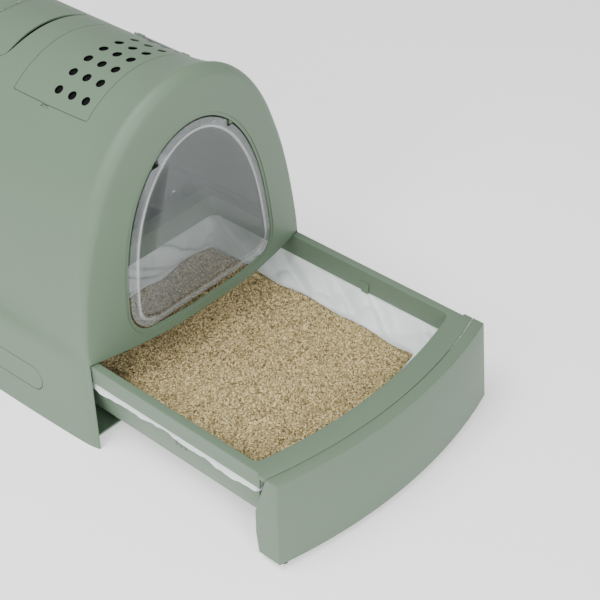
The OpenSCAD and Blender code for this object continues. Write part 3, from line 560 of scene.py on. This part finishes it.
knuckles = [rod("knuckle", (HATCH_AXIS[0], y - KNUCKLE / 2, HATCH_AXIS[1]),
                (HATCH_AXIS[0], y + KNUCKLE / 2, HATCH_AXIS[1]), KNUCKLE_RADIUS, housing_plastic)
            for y in (HATCH_FRONT + KNUCKLE_END, HATCH_REAR - KNUCKLE_END)]
join(hatch, *knuckles)
soften(hatch, PANEL_ANGLE)
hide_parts("hatch_panel")
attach(hatch, "hatch")

# ---- Storage lid ---------------------------------------------------------------------------------
# A smaller panel of the roof that hinges at its rear edge over a storage bin. A gap ahead of it,
# widest in the middle, takes a fingertip.

LID_AXIS = (LID_REAR, float(crown_z(LID_REAR)))
lid = layer_panel("rear_lid", roof_window("lid edge", -LID_HALF + SEAM, LID_HALF - SEAM,
                                          LID_FRONT + LID_GAP, LID_REAR - SEAM, LID_CORNER - SEAM))
join(lid, rod("knuckle", (-KNUCKLE + 0.3, LID_AXIS[0], LID_AXIS[1]),
              (KNUCKLE - 0.3, LID_AXIS[0], LID_AXIS[1]), KNUCKLE_RADIUS, housing_plastic))
soften(lid, PANEL_ANGLE)
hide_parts("storage_lid")
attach(lid, "lid")

# ---- Side latches --------------------------------------------------------------------------------
# A capsule-shaped plate in each skirt, flush with it inside a fine groove, hung from a pin behind
# its upper edge.

for side, word in ((-1, "left"), (1, "right")):
    plate = layer_panel("latch_cover_" + word, capsule("latch edge", side, 0.0))
    soften(plate, PANEL_ANGLE)
    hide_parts("latch_plate_" + word)
    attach(plate, "latch_" + word)
bpy.data.objects.remove(shell)

# ---- Hidden fittings of the housing --------------------------------------------------------------
# Brackets and the base are plain mouldings of the same plastic. The filter's tray and the storage
# bin are black. The roof's pins and the latches' pins are steel, the feet and glides are rubber, and
# the filter is carbon foam.


def steel_paint(start):
    brushed = start.noise(90.0, 3.0, 0.6, (1, 0.05, 1))
    return {"Base Color": start.blend(brushed, (0.55, 0.55, 0.57, 1), (0.68, 0.68, 0.70, 1)),
            "Roughness": 0.25 + 0.15 * brushed}


def rubber_paint(start):
    grain = start.noise(500.0, 3.0)
    return {"Base Color": start.blend(grain, (0.020, 0.020, 0.022, 1), (0.045, 0.045, 0.047, 1)),
            "Normal": start.bump(0.3, 0.0003, grain)}


def carbon_paint(start):
    pores = start.noise(420.0, 4.0, 0.7)
    return {"Base Color": start.blend(pores, (0.003, 0.003, 0.003, 1), (0.012, 0.012, 0.012, 1)),
            "Normal": start.bump(0.8, 0.001, pores)}


def dark_paint(start):
    grain = start.noise(700.0, 2.0)
    return {"Base Color": start.blend(grain, (0.012, 0.013, 0.012, 1), (0.022, 0.023, 0.022, 1)),
            "Roughness": 0.5 + 0.2 * grain}


dark = finish("black plastic", {"Specular IOR Level": 0.3}, dark_paint)
steel = finish("hinge steel", {"Metallic": 1.0}, steel_paint)
rubber = finish("foot rubber", {"Roughness": 0.8}, rubber_paint)
carbon = finish("carbon foam", {"Roughness": 0.95, "Specular IOR Level": 0.1}, carbon_paint)


def dress(names, material):
    """Gives nodes that stay as they are a material."""
    for name in names:
        for place in nodes[name].material_slots:
            place.material = material


dress(["flap_bracket_left", "flap_bracket_right", "latch_bracket_left", "latch_bracket_right",
       "base_pan", "runner_left", "runner_right"], housing_plastic)
dress(["filter_holder", "storage_bin"], dark)
dress(["hatch_pin", "lid_pin", "latch_pin_left", "latch_pin_right"], steel)
dress(["foot_front_left", "foot_front_right", "foot_rear_left", "foot_rear_right",
       "glide_left", "glide_right"], rubber)
dress(["carbon_filter"], carbon)

# ---- Door flap -----------------------------------------------------------------------------------
# A clear moulded flap with a flat margin and a raised bead round a gently domed pane. It hangs in
# the door opening on two pins near its top and swings both ways.

FLAP_GAP, FLAP_SINK, FLAP_THICK = 2.5, 0.3, 1.9
BEAD_START, BEAD_WIDTH, BEAD_RISE, PANE_START, PANE_DOME = 11.5, 5.0, 1.6, 17.5, 2.6
FLAP_PIVOT_X, FLAP_PIVOT_Z, FLAP_PIVOT_DEPTH = 69.0, 398.0, 8.0
FLAP_PIVOT_Y = face_y(FLAP_PIVOT_X, FLAP_PIVOT_Z) + FLAP_PIVOT_DEPTH
FLAP_LUG_X, FLAP_LUG_HALF, FLAP_LUG_RADIUS = 53.5, 5.0, 7.0
FLAP_RELIEF_FROM, FLAP_RELIEF_TO, FLAP_RELIEF_RADIUS = 61.0, 90.0, 10.0
FLAP_MIDDLE_Z = 292.0
FLAP_ANGLE = 40


def flap_surface():
    """Rings from the flap's edge to its middle. The margin follows the bowed face, the bead is half a
    sine wave that stands out of it, and the pane is domed as a parabola about its middle."""
    rings = []
    margin_rings = np.linspace(FLAP_GAP, BEAD_START, 4)
    bead_rings = np.linspace(BEAD_START, PANE_START, 11)[1:]
    for inset in np.concatenate([margin_rings, bead_rings]):
        line = door_outline(inset)
        bead = np.sin(np.clip((inset - BEAD_START) / BEAD_WIDTH, 0, 1) * math.pi)
        rings.append((line, np.full(len(line), FLAP_SINK - BEAD_RISE * bead)))
    edge = rings[-1][0]
    for share in np.linspace(1, 0, 20)[1:-1] ** 1.3:
        line = np.stack([edge[:, 0] * share, FLAP_MIDDLE_Z + (edge[:, 1] - FLAP_MIDDLE_Z) * share], axis=1)
        rings.append((line, np.full(len(line), FLAP_SINK - PANE_DOME * (1 - share ** 2))))
    return np.array([np.stack([line[:, 0], face_y(line[:, 0], line[:, 1]) + out, line[:, 1]], axis=1)
                     for line, out in rings])


def store(piece, name, values):
    """Keeps a number for each of a piece's points, for its material to read."""
    piece.data.attributes.new(name, "FLOAT", "POINT").data.foreach_set("value", values)


def clear_paint(start):
    """Clear styrene that has gone a little grey, with streaks of haze and a denser margin. Along the bead a
    painted highlight makes it paler and less clear.
    """
    haze = start.noise(16.0, 4.0, 0.6, (1, 1, 0.45))
    rim = start.stored("margin")
    mirror = start.node("ShaderNodeFresnel", None, {"IOR": 1.45})
    # Painted highlight: the bead weight lightens the colour and raises the alpha along the bead.
    bead = start.stored("bead")
    return {"Base Color": start.blend(bead, (0.42, 0.45, 0.46, 1), (0.80, 0.84, 0.84, 1)),
            "Roughness": 0.04 + 0.06 * haze,
            "Alpha": 0.015 + 0.05 * haze + 0.10 * rim + 0.20 * bead + 0.25 * mirror}


clear = finish("clear styrene", {"IOR": 1.5, "Specular IOR Level": 0.7}, clear_paint)
front = flap_surface()
count = front.shape[1]
back = front + np.array([0, FLAP_THICK, 0])
both = np.concatenate([back[::-1], front])
flap = mesh_piece("door_flap", in_place(both), ring_faces(len(both), count), clear)
face_outwards(flap)
for side in (-1, 1):
    cut(flap, rod("room", (side * FLAP_RELIEF_FROM, FLAP_PIVOT_Y, FLAP_PIVOT_Z),
                  (side * FLAP_RELIEF_TO, FLAP_PIVOT_Y, FLAP_PIVOT_Z), FLAP_RELIEF_RADIUS, clear, sides=32))
lugs = [rod("lug", (side * FLAP_LUG_X - FLAP_LUG_HALF, FLAP_PIVOT_Y, FLAP_PIVOT_Z),
            (side * FLAP_LUG_X + FLAP_LUG_HALF, FLAP_PIVOT_Y, FLAP_PIVOT_Z),
            FLAP_LUG_RADIUS, clear, sides=32) for side in (-1, 1)]
join(flap, *lugs)
soften(flap, FLAP_ANGLE)
place = (mesh_points(flap.data) + np.array([0, REAR_SHIFT, 0])) / MM
away = place[:, None, ::2] - door_outline(0)[None]
gap = np.min(np.hypot(away[..., 0], away[..., 1]), axis=1)
store(flap, "margin", np.clip((BEAD_START + BEAD_WIDTH - gap) / 2, 0, 1))
# Bead weight for the painted highlight: a bell curve across the middle of the bead.
store(flap, "bead", np.exp(-((gap - BEAD_START - BEAD_WIDTH / 2) / 2.0) ** 2))
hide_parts("flap_panel")
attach(flap, "flap")
dress(["flap_pin_left", "flap_pin_right"], clear)

# ---- Drawer mouldings ----------------------------------------------------------------------------
# The tray, the bowed front panel with its wings, the clips between them and the frame that clamps
# the bag are mouldings of the same green with rounded edges. Three short ribs stand on each side.

RIB_FRONT, RIB_PITCH, RIB_COUNT, RIB_RADIUS = -163.3, 8.2, 3, 1.8
RIB_FOOT_X, RIB_FOOT_Z, RIB_HEAD_X, RIB_HEAD_Z = 190.6, 84.0, 192.6, 99.0
WELD_METRES, FLAT_ANGLE, EDGE_ANGLE = 0.00002, 0.4, 32
drawer_plastic = plastic("drawer plastic", (0.137, 0.198, 0.135, 1), (0.128, 0.187, 0.127, 1), 0.42)


def rounded_copy(name, node, width, material):
    """A node's shape with its edges rounded over by a width in millimetres."""
    mesh = nodes[node].data.copy()
    made = bpy.data.objects.new(name, mesh)
    bpy.context.scene.collection.objects.link(made)
    mesh.materials.clear()
    mesh.materials.append(material)
    weld = made.modifiers.new("weld", "WELD")
    weld.merge_threshold = WELD_METRES
    flat = made.modifiers.new("flat", "DECIMATE")
    flat.decimate_type = "DISSOLVE"
    flat.angle_limit = math.radians(FLAT_ANGLE)
    bevel = made.modifiers.new("round", "BEVEL")
    bevel.width = width * MM
    bevel.segments = 3
    bevel.limit_method = "ANGLE"
    bevel.angle_limit = math.radians(EDGE_ANGLE)
    bevel.use_clamp_overlap = True
    settle(made)
    soften(made, EDGE_ANGLE)
    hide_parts(node)
    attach(made, "drawer")
    return made


rounded_copy("drawer_panel", "drawer_front", 1.6, drawer_plastic)
rounded_copy("drawer_frame", "bag_frame", 0.9, drawer_plastic)
tub = rounded_copy("drawer_tub", "drawer_tray", 0.5, drawer_plastic)
ribs = []
for side in (-1, 1):
    for number in range(RIB_COUNT):
        y = RIB_FRONT + number * RIB_PITCH
        ribs.append(rod("rib", (side * RIB_FOOT_X, y, RIB_FOOT_Z), (side * RIB_HEAD_X, y, RIB_HEAD_Z),
                        RIB_RADIUS, drawer_plastic, sides=12))
join(tub, *ribs)
soften(tub, EDGE_ANGLE)
dress(["front_clip_left", "front_clip_right", "bag_clip_left", "bag_clip_right"], drawer_plastic)

# ---- Liner bag -----------------------------------------------------------------------------------
# A bag of thin white film lines the tray. It folds over the tray's rim, hangs out under the frame as
# a ragged hem, and lies slack from the frame's inner lip down to the litter, in diagonal folds.

PULL_OUT, WING_REACH = 302.0, 19.0
FRONT_Y = -PULL_OUT - WING_REACH
BOW_CENTRE = FRONT_Y - BOW + BOW_RADIUS
DRAWER_LENGTH = 510.0
SIDE_GAP, TRAY_FRONT, TRAY_BACK = 9.4, 24.0, 10.0
TRAY_HALF = CORNER_HALF - SIDE_GAP
RIM_Z, COLLAR_Z, CREASE_Z, HEM_Z, BAG_FLOOR_Z = 136.0, 104.0, 80.0, 101.5, 53.9
HEM_HANG_Z, HEM_FLARE, HEM_POWER = 116.0, 3.2, 1.5
BAG_ROUND = 2 * math.pi * 300
RIM_CORNER, SLACK_CORNER, CREASE_CORNER = 10.0, 12.0, 14.0
SLACK_INSET, SLACK_WIDTH, SLACK_SAG, SLACK_POWER = 3.2, 41.0, 5.0, 0.7
CREASE_INSET, CREASE_WIDTH = 45.0, 7.0
FOLD_SLANT, CROSS_SLANT, CROSS_WANDER = 95, 70, 14


def plan_loop(inset, corner):
    """The tray's plan drawn in by inset: bowed front, straight sides and back, and round corners."""
    half = TRAY_HALF - inset
    radius = BOW_RADIUS - TRAY_FRONT - inset
    rear = FRONT_Y + DRAWER_LENGTH - TRAY_BACK - inset
    x = np.linspace(-(half - corner), half - corner, 110)
    bowed = np.stack([x, BOW_CENTRE - np.sqrt(radius ** 2 - x ** 2)], axis=1)
    side_y = np.linspace(bowed[-1, 1] + corner, rear - corner, 130)
    turn = np.linspace(0, math.pi / 2, 12)[1:-1]
    front_turn = np.stack([half - corner + corner * np.sin(turn),
                           bowed[-1, 1] + corner * (1 - np.cos(turn))], axis=1)
    rear_turn = np.stack([half - corner * (1 - np.cos(turn)), rear - corner + corner * np.sin(turn)], axis=1)
    right = np.stack([np.full_like(side_y, half), side_y], axis=1)
    flip = np.array([-1, 1])
    across = np.stack([np.linspace(half - corner, -(half - corner), 90), np.full(90, rear)], axis=1)
    return np.concatenate([bowed, front_turn, right, rear_turn, across, rear_turn[::-1] * flip,
                           right[::-1] * flip, front_turn[::-1] * flip])


def ripple(place, *waves):
    """A sum of sine waves, each of a length, a height and a phase."""
    return sum(height * np.sin(2 * math.pi * place / length + phase) for length, height, phase in waves)


def bag_surface():
    """Rows from the hem's edge up outside the tray, over its rim, down inside, slack in to the crease
    and across the floor. Folds run aslant down the slack part, and the hem's edge and bulge wander.
    Distances round the bag are scaled to one length, in which most of the waves fit a whole number
    of times."""
    loop = plan_loop(0.0, RIM_CORNER)
    step = np.linalg.norm(np.diff(loop, axis=0, append=loop[:1]), axis=1)
    along = np.cumsum(step)
    along *= BAG_ROUND / along[-1]
    rows = []
    wander = ripple(along, (235.6, 1.6, 0.4), (94.2, 0.9, 1.9), (37.7, 0.6, 0.2), (17.1, 0.4, 2.2))
    flare = HEM_FLARE + ripple(along, (314.2, 0.9, 2.0), (78.5, 0.8, 0.7), (29.0, 0.4, 1.1))
    for share in np.linspace(0, 1, 8):
        z = (HEM_Z + wander) * (1 - share) + HEM_HANG_Z * share
        rows.append((plan_loop(-1.0, RIM_CORNER), z, flare * (1 - share) ** HEM_POWER))
    for z, inset in ((124, -1.0), (132, -1.0), (135.4, -0.9), (RIM_Z, 0.3), (RIM_Z, 1.8), (135.2, 3.0),
                     (128, 3.1), (118, 3.1), (110, 3.1), (COLLAR_Z + 2, SLACK_INSET)):
        rows.append((plan_loop(inset, RIM_CORNER), np.full_like(along, z), 0.0))
    for share in np.linspace(0, 1, 34)[1:]:
        slope = math.sin(math.pi * share) ** SLACK_POWER
        slant = along + FOLD_SLANT * share
        folds = ripple(slant, (117.8, 4.2, 0.3), (67.3, 3.0, 1.0), (40.1, 1.3, 2.6))
        cross = along - CROSS_SLANT * share + CROSS_WANDER * np.sin(along / 31)
        sharp = 4.2 * np.abs(np.sin(math.pi * cross / 89.0)) ** 0.6 - 3.0
        drop = COLLAR_Z + 2 + (CREASE_Z + 1.5 - COLLAR_Z) * share - SLACK_SAG * slope
        rows.append((plan_loop(SLACK_INSET + SLACK_WIDTH * share, SLACK_CORNER),
                     drop + (folds + sharp) * slope, 0.0))
    for share in np.linspace(0, 1, 7)[1:]:
        rows.append((plan_loop(CREASE_INSET + CREASE_WIDTH * share, CREASE_CORNER),
                     np.full_like(along, CREASE_Z + (BAG_FLOOR_Z - CREASE_Z) * share), 0.0))
    points = []
    for line, z, out in rows:
        away = line - np.array([0, FRONT_Y + DRAWER_LENGTH / 2])
        push = np.sign(away[:, :1]) * np.array([[1, 0]]) * np.reshape(out, (-1, 1))
        points.append(np.concatenate([line + push, z[:, None]], axis=1))
    middle = np.array([0, FRONT_Y + DRAWER_LENGTH / 2, BAG_FLOOR_Z])
    last = points[-1]
    points += [middle + (last - middle) * share for share in (0.8, 0.6, 0.4, 0.2, 0.03)]
    return np.array(points)


def film_paint(start):
    """Thin milky film with fine crinkles."""
    milk = start.noise(38.0, 3.0, 0.55)
    crinkle = start.noise(150.0, 4.0, 0.65, (1, 0.6, 1))
    return {"Base Color": start.blend(milk, (0.72, 0.775, 0.77, 1), (0.85, 0.895, 0.89, 1)),
            "Roughness": 0.34 + 0.2 * crinkle,
            "Normal": start.bump(0.35, 0.0012, crinkle)}


film = finish("bag film", {"Subsurface Weight": 0.12, "Subsurface Scale": 0.004}, film_paint)
surface = bag_surface()
bag_faces = ring_faces(*surface.shape[:2])
del bag_faces[-2]
bag = mesh_piece("litter_bag", in_place(surface), bag_faces, film, 60)
face_outwards(bag)
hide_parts("liner_bag")
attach(bag, "drawer")

# ---- Litter --------------------------------------------------------------------------------------
# A bed of tan clay granules, two to three millimetres across, raked into low ridges with a small
# mound where it was poured. Loose granules lie all over the surface.

LITTER_TOP, LITTER_FOOT, LITTER_INSET = 83.0, 56.0, 46.0
HOLLOW_X, HOLLOW_Y, HOLLOW_REACH, HOLLOW_DEPTH = 60, FRONT_Y + 131, 55, 11
MOUND_X, MOUND_Y, MOUND_REACH, MOUND_HEIGHT = 74, FRONT_Y + 201, 39, 10
SWELL, RIPPLE = 3.6, 2.3
COARSE_SIZE, COARSE_HEIGHT, FINE_SIZE, FINE_HEIGHT = 9.0, 1.5, 2.4, 1.6
EDGE_DROP, GRAIN_DROP, EDGE_SHARE = 3.5, 3.2, 0.015
CELLS_PER_METRE = 430.0


def litter_z(x, y):
    """Height of the bed: a slow swell, a quicker ripple, and a hollow and a mound that are bell curves."""
    hollow = np.exp(-((x - HOLLOW_X) ** 2 + (y - HOLLOW_Y) ** 2) / HOLLOW_REACH ** 2)
    mound = np.exp(-((x - MOUND_X) ** 2 + (y - MOUND_Y) ** 2) / MOUND_REACH ** 2)
    slow = SWELL * np.sin(np.radians(x * 2.1 + 30)) * np.cos(np.radians(y * 1.7))
    quick = RIPPLE * np.sin(np.radians(x * 4.3 + y * 3.1))
    return LITTER_TOP + slow + quick - HOLLOW_DEPTH * hollow + MOUND_HEIGHT * mound


def bed_plan(across, along):
    """A unit square laid over the bed: x across it, y from the bowed front to the back."""
    half = TRAY_HALF - LITTER_INSET
    x = (across * 2 - 1) * half
    radius = BOW_RADIUS - TRAY_FRONT - LITTER_INSET
    near = BOW_CENTRE - np.sqrt(radius ** 2 - x ** 2)
    far = FRONT_Y + DRAWER_LENGTH - TRAY_BACK - LITTER_INSET
    return x, near + (far - near) * along


draw = np.random.default_rng(7)


def lumps(x, y, size):
    """Smooth random heights on a lattice of cells, read off with bilinear weights."""
    table = draw.random((400, 400))
    u, v = x / size + 200, y / size + 200
    i, j = np.floor(u).astype(int) % 399, np.floor(v).astype(int) % 399
    fu, fv = u - np.floor(u), v - np.floor(v)
    return (table[i, j] * (1 - fu) * (1 - fv) + table[i + 1, j] * fu * (1 - fv)
            + table[i, j + 1] * (1 - fu) * fv + table[i + 1, j + 1] * fu * fv)


def litter_tones_and_gap_shade(start):
    """Granules of many tans: each cell of the pattern is one granule, with the gaps between them dented by
    the bump. The tans also hold painted shade: they run darker than the loose granules' to stand for the
    shade in the gaps between granules.
    """
    place = start.node("ShaderNodeTexCoord", output=3)
    cell = start.node("ShaderNodeTexVoronoi", None, {"Vector": place, "Scale": CELLS_PER_METRE}, output=1)
    shade = start.node("ShaderNodeSeparateColor", None, {"Color": cell})
    gap = start.node("ShaderNodeTexVoronoi", None, {"Vector": place, "Scale": CELLS_PER_METRE})
    # A random tone for each granule, with painted shade: the whole range sits darker than the loose
    # granules' for the shadowed gaps between them.
    tone = start.node("ShaderNodeValToRGB", {"stops": [(0.0, (0.10, 0.073, 0.032, 1)),
                                                       (1.0, (0.50, 0.405, 0.195, 1))]}, {"Fac": shade})
    return {"Base Color": tone,
            "Normal": start.bump(0.9, 0.0012, 1.0 - gap)}


def grain_paint(start):
    """Each loose granule has one tone of its own."""
    tint = start.stored("tint")
    dust = start.noise(900.0, 2.0)
    tone = start.node("ShaderNodeValToRGB", {"stops": [(0.0, (0.22, 0.160, 0.072, 1)),
                                                       (1.0, (0.92, 0.77, 0.42, 1))]}, {"Fac": tint})
    return {"Base Color": start.blend(0.25 * dust, tone, (0.58, 0.48, 0.27, 1))}


bed_tones_and_gap_shade = finish("litter bed", {"Roughness": 0.95, "Specular IOR Level": 0.2}, litter_tones_and_gap_shade)
loose_paint = finish("loose litter", {"Roughness": 0.92, "Specular IOR Level": 0.2}, grain_paint)
across, along = np.meshgrid(np.linspace(0, 1, 190), np.linspace(0, 1, 250), indexing="ij")
bed_x, bed_y = bed_plan(across, along)
edge = np.minimum.reduce([across, 1 - across, along, 1 - along])
bed_z = litter_z(bed_x, bed_y)
bed_z = bed_z + FINE_HEIGHT * lumps(bed_x, bed_y, FINE_SIZE)
bed_z = bed_z + COARSE_HEIGHT * lumps(bed_x, bed_y, COARSE_SIZE)
bed_z = bed_z - EDGE_DROP * np.exp(-edge / EDGE_SHARE)
top = np.stack([bed_x.ravel(), bed_y.ravel(), bed_z.ravel()], axis=1)
index = np.arange(len(top)).reshape(bed_x.shape)
quads = np.stack([index[:-1, :-1], index[1:, :-1], index[1:, 1:], index[:-1, 1:]], axis=-1).reshape(-1, 4)
border = np.concatenate([index[:-1, 0], index[-1, :-1], index[:0:-1, -1], index[0, :0:-1]])
foot = top[border]
foot[:, 2] = LITTER_FOOT
foot_index = len(top) + np.arange(len(border))
walls = np.stack([border, foot_index, np.roll(foot_index, -1), np.roll(border, -1)], axis=-1)
bed = mesh_piece("litter_heap", in_place(np.concatenate([top, foot])),
                 quads.tolist() + walls.tolist() + [foot_index[::-1].tolist()], bed_tones_and_gap_shade, 80)
face_outwards(bed)
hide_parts("litter_bed")
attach(bed, "drawer")

golden = (1 + 5 ** 0.5) / 2
ICO = np.array([(-1, golden, 0), (1, golden, 0), (-1, -golden, 0), (1, -golden, 0), (0, -1, golden),
                (0, 1, golden), (0, -1, -golden), (0, 1, -golden), (golden, 0, -1), (golden, 0, 1),
                (-golden, 0, -1), (-golden, 0, 1)]) / math.hypot(1, golden)
ICO_FACES = np.array([(0, 11, 5), (0, 5, 1), (0, 1, 7), (0, 7, 10), (0, 10, 11), (1, 5, 9), (5, 11, 4),
                      (11, 10, 2), (10, 7, 6), (7, 1, 8), (3, 9, 4), (3, 4, 2), (3, 2, 6), (3, 6, 8),
                      (3, 8, 9), (4, 9, 5), (2, 4, 11), (6, 2, 10), (8, 6, 7), (9, 8, 1)])
GRAINS = 9500
SIDE_MARGIN, END_MARGIN = 0.012, 0.01
GRAIN_LIFT, GRAIN_JITTER = 1.6, 0.5


def grains(name):
    """Loose granules: a twenty-sided lump for each, stretched, turned and dented at random."""
    u, v = draw.random(GRAINS), draw.random(GRAINS)
    x, y = bed_plan(SIDE_MARGIN + (1 - 2 * SIDE_MARGIN) * u, END_MARGIN + (1 - 2 * END_MARGIN) * v)
    near = np.minimum.reduce([u, 1 - u, v, 1 - v])
    size = draw.uniform(0.8, 1.6, GRAINS)
    z = litter_z(x, y) + GRAIN_LIFT + size * 0.35 - GRAIN_DROP * np.exp(-near / EDGE_SHARE)
    z = z + draw.uniform(-GRAIN_JITTER, GRAIN_JITTER, GRAINS)
    stretch = draw.uniform(0.65, 1.25, (GRAINS, 1, 3))
    dents = draw.uniform(0.8, 1.15, (GRAINS, 12, 1))
    spin = np.linalg.qr(draw.normal(size=(GRAINS, 3, 3)))[0]
    spin[:, :, 0] *= np.linalg.det(spin)[:, None]
    lump = np.einsum("nij,nkj->nki", spin, ICO[None] * dents * stretch) * size[:, None, None]
    points = lump + np.stack([x, y, z], axis=1)[:, None, :]
    faces = (ICO_FACES[None] + 12 * np.arange(GRAINS)[:, None, None]).reshape(-1, 3)
    made = mesh_piece(name, in_place(points), faces.tolist(), loose_paint, 50)
    store(made, "tint", np.repeat(draw.beta(1.6, 1.3, GRAINS), 12))
    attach(made, "drawer")


grains("loose_litter_a")
grains("loose_litter_b")
